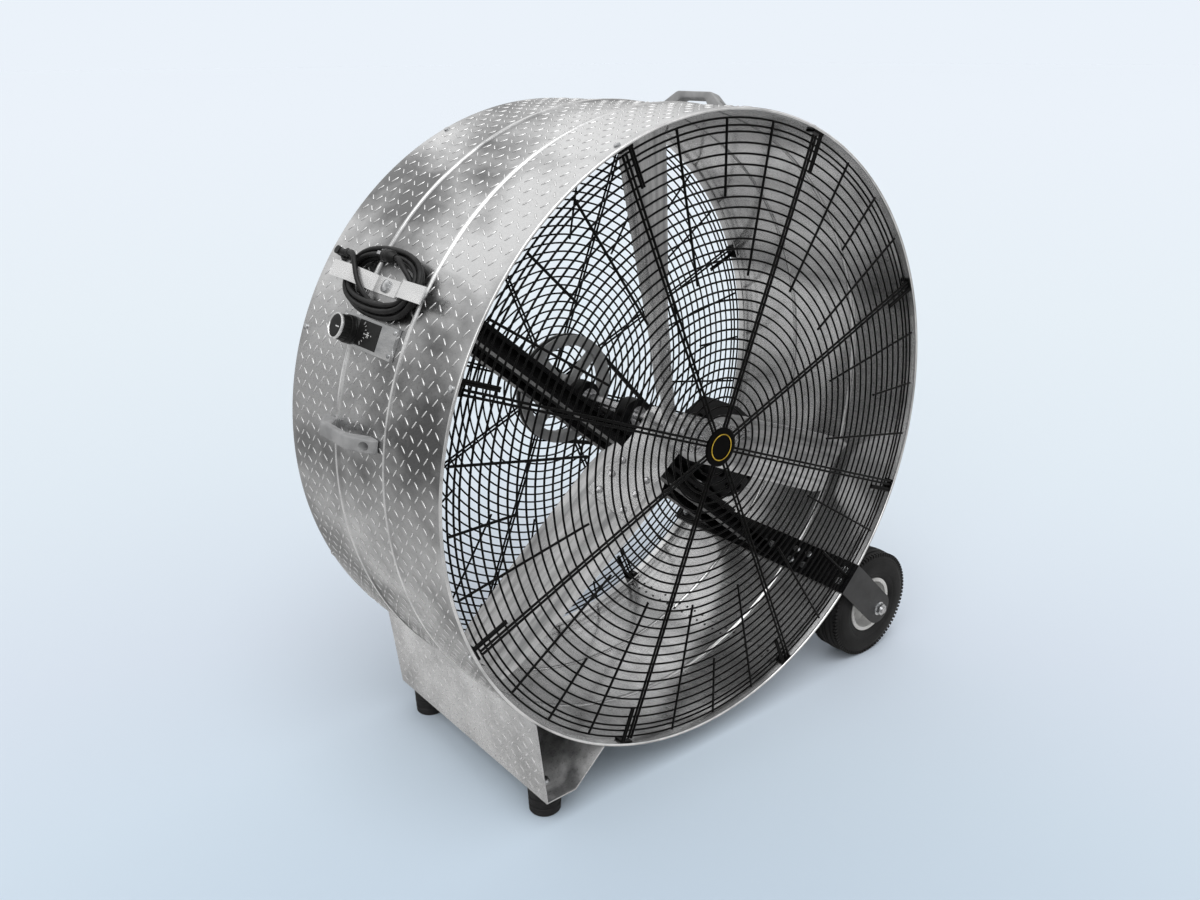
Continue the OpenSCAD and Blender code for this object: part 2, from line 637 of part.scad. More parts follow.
module motor_box() {
    // capacitor and terminal cover on top of the motor
    color([0.09, 0.09, 0.10]) rail_frame() difference() {
        hull() {
            translate([motor_reach - motor_box_w / 2, box_front, motor_v + motor_r * box_low_share])
                cube([motor_box_w, box_rear - box_front, motor_box_h * 0.5]);
            translate([motor_reach - motor_box_w / 2, box_front, motor_v + motor_r * box_low_share])
                translate([box_in, box_in, 0]) cube([motor_box_w - box_in * 2,
                    box_rear - box_front - box_in * 2, motor_box_h + motor_r * 0.18]);
        }
        translate([motor_reach, 0, motor_v]) rotate([-90, 0, 0])
            cylinder(r = motor_r + fit, h = drum_depth);
    }
}
module motor_bolts() {
    color("silver") for (s = [-1, 1], y = [front_rail, rear_rail])
        rail_frame(y) translate([motor_reach + s * foot_step, 0, -bearing_h + base_plate_t])
            hex_bolt(bolt_r, bolt_r * 1.2, base_plate_t + rail_t * 2.5);
}
motor_shaft_out = 16;                     // motor shaft past the belt's middle
module motor_shaft() color("silver") motor_at(motor_front + bell_l * 0.6)
    cylinder(r = motor_shaft_r, h = belt_line + motor_shaft_out - motor_front - bell_l * 0.6);
boss_wall = [7, 6];                       // wall of the pulley's core and of its boss
boss_out = 6;                             // boss before the rim
module motor_pulley() {
    color("dimgray") motor_at(belt_line) difference() {
        union() {
            rotate_extrude() intersection() {
                pulley_rim(motor_pulley_r);
                translate([motor_shaft_r, -pulley_w]) square([motor_pulley_r, pulley_w * 2]);
            }
            translate([0, 0, -pulley_w / 2]) cylinder(r = motor_shaft_r + boss_wall[0], h = pulley_w);
            translate([0, 0, -pulley_w / 2 - boss_out])
                cylinder(r = motor_shaft_r + boss_wall[1], h = pulley_w);
        }
        cylinder(r = motor_shaft_r + fit, h = pulley_w * 3, center = true);
    }
}

// Belt: straight runs between two arcs, carried in the grooves
belt_out = 1;                             // belt over the pulley's outer radius
drive_d = sqrt(pow(motor_reach, 2) + pow(motor_v, 2));
drive_a = atan2(motor_v, motor_reach);
wrap_a = asin((fan_pulley_r - motor_pulley_r) / drive_d);
belt_in = belt_t - belt_out - belt_gap;   // belt below the pulley's outer radius
module belt_loop(r0, r1) {
    // outline round both pulleys at radii r0 and r1, centres drive_d apart along x
    circle(r = r0);
    translate([drive_d, 0]) circle(r = r1);
    polygon([[r0 * sin(wrap_a), r0 * cos(wrap_a)],
        [drive_d + r1 * sin(wrap_a), r1 * cos(wrap_a)],
        [drive_d + r1 * sin(wrap_a), -r1 * cos(wrap_a)],
        [r0 * sin(wrap_a), -r0 * cos(wrap_a)]]);
}
module drive_belt() {
    color([0.06, 0.06, 0.06]) rail_frame(belt_line) rotate([90, -drive_a, 0])
        translate([0, 0, -belt_w * belt_foot]) linear_extrude(belt_w * belt_foot * 2) difference() {
            belt_loop(fan_pulley_r + belt_out, motor_pulley_r + belt_out);
            belt_loop(fan_pulley_r - belt_in, motor_pulley_r - belt_in);
        }
}

// Guards
clip_angle = 23.5;
pair_gap = 8;                             // between the middles of a paired spoke's wires
rim_room = 12;                            // outermost ring from the hem
rim_ring_r = wall_r - drum_t - rim_room;
rim_pair = 13;                            // between the two outermost rings
clip_plate = 4;
long_wire_in = 335;
short_wire_in = 482;
clip_l = 66;
clip_step = 17;                           // clip beside its spoke
eye_w = 16;
badge_lap = 6;                            // spokes under the badge
// an eight-sided wire keeps the mesh of so many rings light
wire_sides = 8;
module wire_ring(r) rotate_extrude() translate([r, 0]) polygon(wire_section);
wire_corner = ring_wire / 2 / cos(180 / wire_sides);
wire_section = [for (k = [0 : wire_sides - 1])
    wire_corner * [cos(360 / wire_sides * (k + 1 / 2)), sin(360 / wire_sides * (k + 1 / 2))]];
module guard_rings() {
    // ring middles lie in z = 0, the spokes under them
    for (k = [0 : ring_count - 1]) if (first_ring_r + k * ring_pitch < rim_ring_r - rim_pair - ring_wire)
        wire_ring(first_ring_r + k * ring_pitch);
    for (r = [rim_ring_r - rim_pair, rim_ring_r]) wire_ring(r);
}
module radial_wire(a, r0, r1, s = 0) rotate(a)
    translate([r0, s, 0]) rotate([0, 90, 0]) cylinder(r = spoke_wire / 2, h = r1 - r0);
module guard_spokes() {
    step = 360 / spoke_count;
    for (k = [0 : spoke_count - 1]) {
        for (s = [-1, 1])
            radial_wire(k * step, badge_r - badge_lap, rim_ring_r + ring_wire / 2, s * pair_gap / 2);
        for (q = [1, 3]) radial_wire((k + q / 4) * step, long_wire_in, rim_ring_r);
        radial_wire((k + 1 / 2) * step, short_wire_in, rim_ring_r);
    }
}
wire_step = ring_wire / 2 + spoke_wire / 2;
clip_x = sqrt(pow(wall_r - drum_t, 2) - pow(clip_step + eye_w / 2, 2)) - seat;   // outer face of the eye
clip_z = screw_inset - guard_inset + wire_step;   // rim screw from the spokes
module guard_clips() {
    // a doubled wire beside each spoke, with an eye for the rim screw
    for (k = [0 : spoke_count - 1]) rotate(k * 360 / spoke_count) {
        for (s = [-1, 1]) translate([rim_ring_r - clip_l, -clip_step + s * spoke_wire * 0.49, 0])
            rotate([0, 90, 0])
                cylinder(r = spoke_wire / 2, h = clip_x - clip_plate / 2 - rim_ring_r + clip_l);
        difference() {
            translate([clip_x - clip_plate, -clip_step - spoke_wire, -spoke_wire / 2])
                cube([clip_plate, clip_step + spoke_wire + eye_w / 2, spoke_wire / 2 + clip_z + eye_w / 2]);
            translate([clip_x - clip_plate - cut, 0, clip_z]) rotate([0, 90, 0])
                cylinder(r = screw_r + fit * 4, h = clip_plate + cut * 2);
        }
    }
}
// front guard: rings face the drum, spokes in front; the rear guard is its mirror image
module guard_front(z) along(guard_inset + z) rotate(-clip_angle) mirror([0, 1, 0]) children();
module guard_rear(z) along(drum_depth - guard_inset - z) rotate(-clip_angle)
    mirror([0, 1, 0]) mirror([0, 0, 1]) children();
module front_guard_rings() color([0.05, 0.05, 0.05]) guard_front(0) guard_rings();
module front_guard_spokes() color([0.05, 0.05, 0.05]) guard_front(-wire_step) guard_spokes();
module front_guard_clips() color([0.05, 0.05, 0.05]) guard_front(-wire_step) guard_clips();
module rear_guard_rings() color([0.05, 0.05, 0.05]) guard_rear(0) guard_rings();
module rear_guard_spokes() color([0.05, 0.05, 0.05]) guard_rear(-wire_step) guard_spokes();
module rear_guard_clips() color([0.05, 0.05, 0.05]) guard_rear(-wire_step) guard_clips();
badge_t = 4;
badge_lip = 3;                            // bevel round the badge
badge_ring = [badge_r * 0.70, badge_r * 0.62];
badge_y = guard_inset - wire_step - spoke_wire / 2;
module hub_badge() color([0.04, 0.04, 0.04]) along(badge_y - badge_t) rotate_extrude()
    polygon([[0, badge_t / 4], [badge_ring[1], badge_t / 4], [badge_ring[1], 0], [badge_ring[0], 0],
        [badge_ring[0], badge_t / 4], [badge_r - badge_lip, badge_t / 4], [badge_r, badge_t / 2],
        [badge_r, badge_t], [0, badge_t]]);
module rear_guard_plate() color([0.05, 0.05, 0.05]) along(drum_depth - badge_y)
    cylinder(r = badge_r, h = badge_t / 2);
screw_head = 4;
module guard_screws() {
    color("silver") for (k = [0 : spoke_count - 1], y = [screw_inset, drum_depth - screw_inset])
        polar(clip_angle + k * 360 / spoke_count, y) rotate([0, 90, 0])
            translate([0, 0, drum_r + seat])
                dome_screw(screw_r, screw_head, drum_r + seat - clip_x + clip_plate * 1.5);
}

// Grip handles
top_handle_a = 72.8;
handle_mid = 298;                         // the handles' middle from the front rim
handle_t = 15;
handle_pad = 30;
handle_seat = 9;                          // screw seats over the drum, at the foot of a recess
module grip(a) {
    color([0.55, 0.55, 0.56]) polar(a, handle_mid) difference() {
        grip_bar();
        for (s = [-1, 1]) translate([drum_r + handle_t + cut, s * (handle_l / 2 - handle_pad / 2), 0])
            rotate([0, -90, 0]) cylinder(r = bolt_r + fit * 4, h = handle_t * 2);
        for (s = [-1, 1]) translate([drum_r + handle_seat, s * (handle_l / 2 - handle_pad / 2), 0])
            rotate([0, 90, 0]) cylinder(r = bolt_r * 2, h = handle_h);
        for (b = [bead_front, bead_rear]) translate([0, b - handle_mid, 0]) rotate([-90, 0, 0])
            rotate_extrude() translate([wall_r, 0]) circle(r = bead_r + seat);
    }
}
module grip_bar() {
    // outline in the drum's radial plane: two feet, two slopes and a straight grip
    o = [[0, -handle_l / 2], [handle_t * 0.8, -handle_l / 2], [handle_h, -handle_l / 2 + handle_pad * 1.5],
        [handle_h, handle_l / 2 - handle_pad * 1.5], [handle_t * 0.8, handle_l / 2], [0, handle_l / 2],
        [0, handle_l / 2 - handle_pad], [handle_h - handle_t, handle_l / 2 - handle_pad * 2],
        [handle_h - handle_t, -handle_l / 2 + handle_pad * 2], [0, -handle_l / 2 + handle_pad]];
    translate([drum_r + seat, 0, -handle_w / 2]) linear_extrude(handle_w) polygon(o);
}
module side_handle() grip(side_handle_a);
module top_handle() grip(top_handle_a);
module handle_screws() {
    color("silver") for (a = [side_handle_a, top_handle_a], s = [-1, 1])
        polar(a, handle_mid + s * (handle_l / 2 - handle_pad / 2)) translate([drum_r + handle_seat, 0, 0])
            rotate([0, 90, 0]) dome_screw(bolt_r * 0.8, bolt_r, handle_seat - seat);
}

// Switch plate, label and knob on the left wall, with the switch behind them
plate_a = 155.8;
plate_y = 302;                            // middle of the plate from the front rim
plate_h = 7;
label_t = 0.6;
knob_a = plate_a + 0.2;
knob_edge = 10;                           // knob from the plate's end
label_gap = 3;                            // label from the knob
knob_y = plate_y + plate_l / 2 - knob_r - knob_edge;
knob_stem_r = 5;
knob_stem_in = 10;                        // stem inside the wall
plate_screw_r = 2;
plate_inset = 8;                          // plate screws from its corners
module at_plate_screws() for (sy = [-1, 1], sz = [-1, 1])
    polar(plate_a, plate_y + sy * (plate_l / 2 - plate_inset))
        translate([0, 0, sz * (plate_w / 2 - plate_inset)]) rotate([0, 90, 0]) children();
module switch_plate() {
    color("gainsboro") difference() {
        polar(plate_a, plate_y) translate([drum_r + seat, -plate_l / 2, -plate_w / 2])
            cube([plate_h, plate_l, plate_w]);
        for (b = [bead_front, bead_rear]) along(b)
            rotate_extrude() translate([wall_r, 0]) circle(r = bead_r + seat);
        polar(knob_a, knob_y) rotate([0, 90, 0]) translate([0, 0, drum_r - cut])
            cylinder(r = knob_stem_r + seat, h = plate_h + cut * 3);
        at_plate_screws() translate([0, 0, drum_r])
            cylinder(r = plate_screw_r + fit * 4, h = plate_h + cut);
    }
}
label_l = 76;
label_w = 47;
module switch_label() color([0.03, 0.03, 0.03]) polar(plate_a, knob_y - knob_r - label_l / 2 - label_gap)
    translate([drum_r + seat + plate_h, -label_l / 2, -label_w / 2]) cube([label_t, label_l, label_w]);
module switch_knob() {
    base = drum_r + seat * 2 + plate_h;
    flute_r = knob_r * 0.14;
    color([0.06, 0.06, 0.06]) polar(knob_a, knob_y) rotate([0, 90, 0]) {
        translate([0, 0, base]) difference() {
            union() {
                cylinder(r = knob_r, h = knob_h * 0.3);
                cylinder(r1 = knob_r * 0.92, r2 = knob_r * 0.84, h = knob_h);
            }
            for (k = [0 : 11]) rotate(k * 30) translate([knob_r * 1.02, 0, knob_h * 0.36])
                cylinder(r = flute_r, h = knob_h);
        }
        translate([0, 0, wall_r - knob_stem_in])
            cylinder(r = knob_stem_r, h = base - wall_r + knob_stem_in + seat);
    }
}
switch_w = 44;
switch_h = 34;
switch_face = sqrt(pow(wall_r, 2) - pow(switch_w / 2, 2)) - seat;
module switch_body() {
    color([0.15, 0.15, 0.15]) difference() {
        polar(knob_a, knob_y) translate([switch_face - switch_h, -switch_w / 2, -switch_w / 2])
            cube([switch_h, switch_w, switch_w]);
        polar(knob_a, knob_y) rotate([0, 90, 0]) translate([0, 0, switch_face - switch_h * 0.6])
            cylinder(r = knob_stem_r + seat, h = switch_h);
    }
}

// Swept tube: a cord through a list of points, each with its direction from its neighbours
function unit(v) = v / norm(v);
function way(p, i) = unit(p[min(i + 1, len(p) - 1)] - p[max(i - 1, 0)]);
function side(d, up) = unit(cross(d, up));
function tube_points(p, r, n, up) = [for (i = [0 : len(p) - 1])
    let (d = way(p, i), a = side(d, up), b = cross(a, d))
        for (k = [0 : n - 1]) p[i] + r * (cos(k * 360 / n) * a + sin(k * 360 / n) * b)];
function tube_faces(m, n) = concat(
    [for (i = [0 : m - 2]) for (k = [0 : n - 1]) let (q = (k + 1) % n)
        each [[i * n + k, i * n + q, (i + 1) * n + q], [i * n + k, (i + 1) * n + q, (i + 1) * n + k]]],
    [for (k = [1 : n - 2]) [0, k + 1, k]],
    [for (k = [1 : n - 2]) [(m - 1) * n, (m - 1) * n + k, (m - 1) * n + k + 1]]);
module tube(p, r, n, up) polyhedron(points = tube_points(p, r, n, up), faces = tube_faces(len(p), n));
// Smooth path through hand-placed points
function spline(a, b, c, d, t) = 0.5 * (2 * b + (c - a) * t + (2 * a - 5 * b + 4 * c - d) * t * t
    + (3 * b - a - 3 * c + d) * t * t * t);
function smooth(p, n) = [for (i = [0 : len(p) - 2]) for (k = [0 : n - 1])
    spline(p[max(i - 1, 0)], p[i], p[i + 1], p[min(i + 2, len(p) - 1)], k / n), p[len(p) - 1]];

// Inner leads: from the gland to the switch, and from the switch along the rear rail to the motor
gland_r = 8;
gland_a = 144.5;
gland_y = 494;
gland_in = 12;                            // thread inside the wall
gland_h = 16;                             // outlet over the drum
gland_out = 20;                           // outlet's face from the gland's axis
gland_nut = [gland_r + 5, 5];             // radius and thickness
lead_r = 4;
lead_y = rear_rail - rail_w / 2 - lead_r - seat;
switch_in = switch_face - switch_h;       // the switch's inner face
// A point in the rails' frame: u along the rails, y from the front rim, v up from the shaft axis
function rail_point(u, y, v) =
    [u * cos(rail_fall) + v * sin(rail_fall), y, -u * sin(rail_fall) + v * cos(rail_fall)];
function drum_point(a, y, r) = [r * cos(a), y, r * sin(a)];
box_u = motor_reach - motor_box_w / 2;    // the motor box's near side
lead_over = 34;                           // the lead's way into the box over the box's foot
box_v = motor_v + motor_r * box_low_share + lead_over;
lead_out = 8;                             // straight step out of a terminal
lead_rise = 16;                           // the supply lead's way into the switch over its inner face
motor_route = concat([for (k = [0 : 2]) drum_point(knob_a, knob_y, switch_in - seat - k * lead_out)],
    [rail_point(-508, lead_y - 22, rail_mid_v + 6), rail_point(-445, lead_y, rail_mid_v),
    rail_point(-286, lead_y, rail_mid_v), rail_point(-127, lead_y, rail_mid_v),
    rail_point(0, lead_y, rail_mid_v), rail_point(143, lead_y, rail_mid_v),
    rail_point(box_u - 58, lead_y - 10, rail_mid_v + 18), rail_point(box_u - 48, lead_y - 30, motor_v * 0.4),
    rail_point(box_u - 44, lead_y - 40, box_v - 28)],
    [for (k = [2 : -1 : 0]) rail_point(box_u - seat - k * lead_out, lead_y - 40, box_v)]);
supply_route = concat(
    [for (k = [0 : 2]) drum_point(gland_a, gland_y, wall_r - gland_in - seat - k * lead_out)],
    [drum_point(gland_a + 3.5, gland_y - 14, wall_r - 44),
    drum_point(gland_a + 7.5, gland_y - 44, wall_r - 38), drum_point(knob_a - 1, knob_y + 56, wall_r - 28)],
    [for (k = [2 : -1 : 0])
        drum_point(knob_a, knob_y + switch_w / 2 + seat + k * lead_out, switch_in + lead_rise)]);
module inner_leads() {
    color([0.05, 0.05, 0.05]) translate([axis_x, front_y, axis_z]) {
        tube(smooth(motor_route, 4), lead_r, 8, [0.1, 1, 0.2]);
        tube(smooth(supply_route, 3), lead_r, 8, rad_way(gland_a + 90));
    }
}

// Cord cleat with its two wings, and the cord wound under them
cleat_a = 147.6;
cleat_y = 304;
cleat_t = 3;
cleat_bolt_r = 6;
cleat_base = 84;                          // flat length on the drum
cleat_inner = 188;                        // between the wings' inner folds
wing_h = 27;                              // underside of the wings over the drum
module cleat_section() {
    o = [[0, -cleat_base / 2], [wing_h, -cleat_inner / 2], [wing_h, -cleat_l / 2],
        [wing_h + cleat_t, -cleat_l / 2], [wing_h + cleat_t, -cleat_inner / 2 + cleat_t],
        [cleat_t, -cleat_base / 2 + cleat_t], [cleat_t, cleat_base / 2 - cleat_t],
        [wing_h + cleat_t, cleat_inner / 2 - cleat_t], [wing_h + cleat_t, cleat_l / 2],
        [wing_h, cleat_l / 2], [wing_h, cleat_inner / 2], [0, cleat_base / 2]];
    polygon(o);
}
module on_cleat() polar(cleat_a, cleat_y) translate([drum_r + seat, 0, 0]) children();
module cord_cleat() {
    color("gainsboro") on_cleat() difference() {
        translate([0, 0, -cleat_w / 2]) linear_extrude(cleat_w) cleat_section();
        translate([-cut, 0, 0]) rotate([0, 90, 0])
            cylinder(r = cleat_bolt_r + fit * 4, h = cleat_t + cut * 2);
    }
}
module fitting_screws() {
    color("silver") on_cleat() translate([cleat_t, 0, 0])
        rotate([0, 90, 0]) dome_screw(cleat_bolt_r, cleat_bolt_r * 1.2, cleat_t);
    color("silver") at_plate_screws() translate([0, 0, drum_r + seat + plate_h])
        dome_screw(plate_screw_r, plate_screw_r, plate_h);
}

// The cord lies on the drum round the cleat. Its points are [height over the drum, distance to the rear
// of the cleat's middle, distance down round the drum from the cleat's middle].
function round_drum(q) = cleat_a + q / drum_r * 180 / PI;
function on_drum(p) = drum_point(round_drum(p[2]), cleat_y + p[1], drum_r + p[0]);
cord_up = rad_way(cleat_a);

// Oval coil: loops spiral out in the lower layer, climb, and spiral in again in the upper one
coil_n = 24;                              // rings in each loop
coil_side = 62;                           // half length of the loops' straighter sides
coil_end = 38;                            // bend of the innermost loop's ends
coil_step = cord_d * 1.12;                // spacing of loops in a layer
coil_lift = cord_d * 1.06;                // spacing of the layers
coil_low = bead_rise + cord_d / 2 + seat; // lower layer over the drum
coil_from = 90;                           // where the cord enters the lower layer
coil_up = 4;                              // coil's middle over the cleat's, clear of the switch plate
coil_turns = 4 + (195 - coil_from) / 360;
function ease(x) = let (t = min(1, max(0, x))) t * t * (3 - 2 * t);
function coil_grow(t) = coil_step * min(t, coil_turns - t);
function coil_rise(t) = coil_lift * ease((t - coil_turns / 2 + 0.25) * 2);
function coil_at(t) = let (w = coil_from + t * 360, b = coil_end + coil_grow(t))
    on_drum([coil_low + coil_rise(t), coil_side * sin(90 * cos(w)) + b * cos(w), b * sin(w) - coil_up]);
coil_rings = ceil(coil_turns * coil_n);
coil_body = [for (i = [0 : coil_rings]) coil_at(i / coil_rings * coil_turns)];
coil_in = unit(coil_body[1] - coil_body[0]);
coil_out = unit(coil_body[coil_rings] - coil_body[coil_rings - 1]);
coil_path = concat([coil_body[0] - cord_d * coil_in], coil_body);
coil_half = ceil(coil_n / 2);
coil_clear = min([for (i = [0 : coil_rings - coil_half]) for (j = [i + coil_half : coil_rings])
    norm(coil_body[i] - coil_body[j])]) - cord_d;
function path_length(p) = let (d = [for (i = [1 : len(p) - 1]) norm(p[i] - p[i - 1])]) d * [for (x = d) 1];
module in_drum() translate([axis_x, front_y, axis_z]) children();
module cord_coil() color([0.07, 0.07, 0.07]) in_drum() tube(coil_path, cord_d / 2, 6, cord_up);

// Elbow gland behind the cleat, its outlet facing the coil
module cord_gland() {
    color([0.05, 0.05, 0.05]) {
        polar(gland_a, gland_y) rotate([0, 90, 0]) {
            translate([0, 0, wall_r - gland_in])
                cylinder(r = gland_r, h = gland_in + drum_t + gland_h + gland_r);
            translate([0, 0, drum_r + seat]) cylinder(r = gland_nut[0], h = gland_nut[1], $fn = 6);
            translate([0, 0, wall_r - gland_nut[1] - seat])
                cylinder(r = gland_nut[0], h = gland_nut[1], $fn = 6);
        }
        polar(gland_a, gland_y) translate([drum_r + gland_h, 0, 0]) rotate([90, 0, 0])
            cylinder(r1 = gland_r - 1, r2 = cord_d / 2 + 1, h = gland_out);
    }
}

// Cord from the gland over the coil's end and the cleat's slope into the lower layer
run_in = coil_path[0];
gland_q = (gland_a - cleat_a) * PI / 180 * drum_r;
gland_s = gland_y - cleat_y - gland_out;
run_points = [[gland_h, gland_s, gland_q], [gland_h, gland_s - 10, gland_q], [19.5, 149, -35],
    [26, 132, -35.5], [31, 115, -34], [33, 101, -28.5], [32.5, 89, -19.5], [30, 79.5, -9], [26.5, 71.5, 1.5],
    [22, 63.5, 11], [17.5, 54.5, 19], [13.5, 44, 25.5], [10.8, 32.5, 30.5]];
run_path = concat(smooth(concat([for (p = run_points) on_drum(p)], [run_in - 11 * coil_in]), 2), [run_in]);
module cord_run() color([0.07, 0.07, 0.07]) in_drum() tube(run_path, cord_d / 2, 8, cord_up);

// Cord from the end of the upper layer up over it to the plug, which lies on the coil
tail_out = coil_path[len(coil_path) - 1];
tail_points = [[22.5, -95.3, -19.8], [28.5, -87.5, -26.5], [34, -76, -33.5], [36.5, -65, -39.5],
    [36.5, -54, -44]];
plug_at = [36.5, -46, -44];
tail_path = concat([tail_out], smooth([tail_out + 2 * coil_out, for (p = tail_points) on_drum(p)], 2),
    [on_drum(plug_at)]);
module cord_tail() color([0.07, 0.07, 0.07]) in_drum() tube(tail_path, cord_d / 2, 8, cord_up);
plug_r = 11.5;
plug_l = [12, 26];                        // tapered neck and body
pin_l = 18;
pin_gap = 12.7;
blade_pin = [6.3, 1.5];                   // width and thickness of a flat pin
earth_pin_r = 2.4;
module cord_plug() {
    face = plug_l[0] + plug_l[1];
    color([0.07, 0.07, 0.07]) in_drum() translate(on_drum(plug_at))
        rotate([0, -round_drum(plug_at[2]), 0]) rotate([-90, 0, 0]) {
            cylinder(r1 = cord_d / 2 + 1, r2 = plug_r, h = plug_l[0]);
            translate([0, 0, plug_l[0]]) cylinder(r = plug_r, h = plug_l[1]);
            for (s = [-1, 1]) translate([-blade_pin[0] / 2, s * pin_gap / 2 - blade_pin[1] / 2, face])
                cube([blade_pin[0], blade_pin[1], pin_l]);
            translate([-pin_gap / 2, 0, face]) cylinder(r = earth_pin_r, h = pin_l);
        }
}
cord_length = path_length(coil_path) + path_length(run_path) + path_length(tail_path);
echo(coil_clear = coil_clear, cord_length = cord_length, axis_x = axis_x, axis_z = axis_z);

drum_shell();
base_channel();
front_foot();
rear_foot();
foot_bolts();
wheel_saddle();
saddle_bolts();
wheel_axle();
axle_nuts();
axle_spacers();
front_tyre();
front_wheel();
rear_tyre();
rear_wheel();
front_cross_rail();
rear_cross_rail();
rail_bolts();
front_bearing();
rear_bearing();
bearing_bolts();
fan_shaft();
bearing_collars();
fan_hub();
blade_a();
blade_b();
blade_c();
blade_rivets();
fan_pulley();
motor_base();
motor_shell();
motor_end_bells();
motor_box();
motor_bolts();
motor_shaft();
motor_pulley();
drive_belt();
front_guard_rings();
front_guard_spokes();
front_guard_clips();
hub_badge();
rear_guard_rings();
rear_guard_spokes();
rear_guard_clips();
rear_guard_plate();
guard_screws();
side_handle();
top_handle();
handle_screws();
switch_plate();
switch_label();
switch_knob();
switch_body();
inner_leads();
cord_cleat();
fitting_screws();
cord_gland();
cord_run();
cord_coil();
cord_tail();
cord_plug();
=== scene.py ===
# Portable drum fan: tread-plate barrel on two feet and two wheels, belt drive, wire guards.
# Metres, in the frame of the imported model. The sections follow the fan as it is put together.
import math
import bmesh
import bpy
from mathutils import Matrix, Vector


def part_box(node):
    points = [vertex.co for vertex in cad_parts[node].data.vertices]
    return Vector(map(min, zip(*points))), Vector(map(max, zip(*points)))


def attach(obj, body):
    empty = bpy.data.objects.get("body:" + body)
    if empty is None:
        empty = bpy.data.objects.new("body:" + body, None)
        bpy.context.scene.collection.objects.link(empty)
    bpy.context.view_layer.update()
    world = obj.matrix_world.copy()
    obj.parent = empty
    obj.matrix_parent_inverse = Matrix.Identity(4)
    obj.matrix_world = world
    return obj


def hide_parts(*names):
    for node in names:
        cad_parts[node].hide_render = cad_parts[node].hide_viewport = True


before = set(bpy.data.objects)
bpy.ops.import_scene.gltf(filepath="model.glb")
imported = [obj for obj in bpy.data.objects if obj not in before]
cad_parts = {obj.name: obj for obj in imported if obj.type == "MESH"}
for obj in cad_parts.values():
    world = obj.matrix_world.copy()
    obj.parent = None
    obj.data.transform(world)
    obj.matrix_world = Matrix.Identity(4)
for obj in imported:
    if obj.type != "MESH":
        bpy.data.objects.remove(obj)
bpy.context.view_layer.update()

# Camera: to the left of the drum's middle and above it, at the photograph's angle.
# Its place and its lens come from the ovals of the drum's two rims.
camera_at = (-1.42376, -1.6455, 1.4131)
camera_up, camera_back = Vector((0.2240, 0.2696, 0.9366)), Vector((-0.5889, -0.7282, 0.3505)).normalized()
camera_right = camera_up.cross(camera_back).normalized()
camera_lens, camera_film, camera_reach = 31.83, 36, 400


def placed(name, data):
    """An object in the scene, with its data."""
    thing = bpy.data.objects.new(name, data)
    bpy.context.scene.collection.objects.link(thing)
    return thing


camera = placed("camera", bpy.data.cameras.new("camera"))
bpy.context.scene.camera = camera
camera.data.lens, camera.data.sensor_width, camera.data.clip_end = camera_lens, camera_film, camera_reach
camera.matrix_world = Matrix.Translation(camera_at) @ Matrix(
    (camera_right, camera_back.cross(camera_right), camera_back)).transposed().to_4x4()

# Studio: even pale light from all round, one broad soft lamp overhead and a fill from the left.
# The camera sees a pale blue-grey backdrop, the metal a neutral room, dim low down and bright above.
bpy.context.scene.view_settings.view_transform = "Standard"
backdrop_stops = ((0.00, (0.604, 0.716, 0.831)), (0.17, (0.658, 0.761, 0.863)),
                  (0.33, (0.716, 0.791, 0.888)), (0.50, (0.760, 0.840, 0.913)),
                  (0.67, (0.799, 0.871, 0.930)), (0.87, (0.831, 0.888, 0.956)))
room_greys = ((0.00, 0.50), (0.10, 0.56), (0.34, 0.66), (0.62, 0.74), (0.80, 1.02), (1.00, 1.10))
room_patch, room_uneven = 1.7, (0.62, 1.22)
fill_strength = 0.58
lamps = (("overhead_lamp", 1.25, 50, (18, -14, 0)), ("side_lamp", 0.35, 35, (62, 0, -58)))


def put(tree, kind, sockets=None, **settings):
    """A node with its settings, its sockets set to values or joined to other nodes."""
    node = tree.nodes.new(kind)
    for key, value in settings.items():
        setattr(node, key, value)
    for key, value in (sockets or {}).items():
        if isinstance(value, bpy.types.Node):
            value = value.outputs[0]
        if isinstance(value, bpy.types.NodeSocket):
            tree.links.new(value, node.inputs[key])
        else:
            node.inputs[key].default_value = value
    return node


def tint(colour):
    """A colour, or one level of grey, as a node takes it."""
    return (*colour, 1) if isinstance(colour, tuple) else (colour, colour, colour, 1)


def ramp(tree, amount, stops):
    """A ramp of colours over an amount from 0 to 1."""
    node = put(tree, "ShaderNodeValToRGB", {"Fac": amount})
    rows = node.color_ramp.elements
    while len(rows) < len(stops):
        rows.new(1)
    for row, (place, colour) in zip(rows, stops):
        row.position, row.color = place, tint(colour)
    return node


def stretched(tree, amount, low, high, first=0, last=1):
    """An amount taken from one span to another."""
    return put(tree, "ShaderNodeMapRange", {"Value": amount, "From Min": low, "From Max": high,
                                            "To Min": first, "To Max": last})


world = bpy.data.worlds.new("studio")
world.use_nodes = True
bpy.context.scene.world = world
air = world.node_tree
air.nodes.clear()
seen = put(air, "ShaderNodeLightPath").outputs
around_us = put(air, "ShaderNodeTexCoord").outputs["Generated"]
upward = put(air, "ShaderNodeSeparateXYZ", {0: around_us}).outputs["Z"]
patches = put(air, "ShaderNodeTexNoise", {"Vector": around_us, "Scale": room_patch, "Detail": 2})
fill = put(air, "ShaderNodeBackground", {"Color": tint(1), "Strength": fill_strength})
room = put(air, "ShaderNodeBackground", {"Color": ramp(air, upward, room_greys),
                                         "Strength": stretched(air, patches, 0.40, 0.60, *room_uneven)})
backdrop = put(air, "ShaderNodeBackground", {"Color": tint(backdrop_stops[-1][1]), "Strength": 1})
inside = put(air, "ShaderNodeMixShader", {0: seen["Is Glossy Ray"], 1: fill, 2: room})
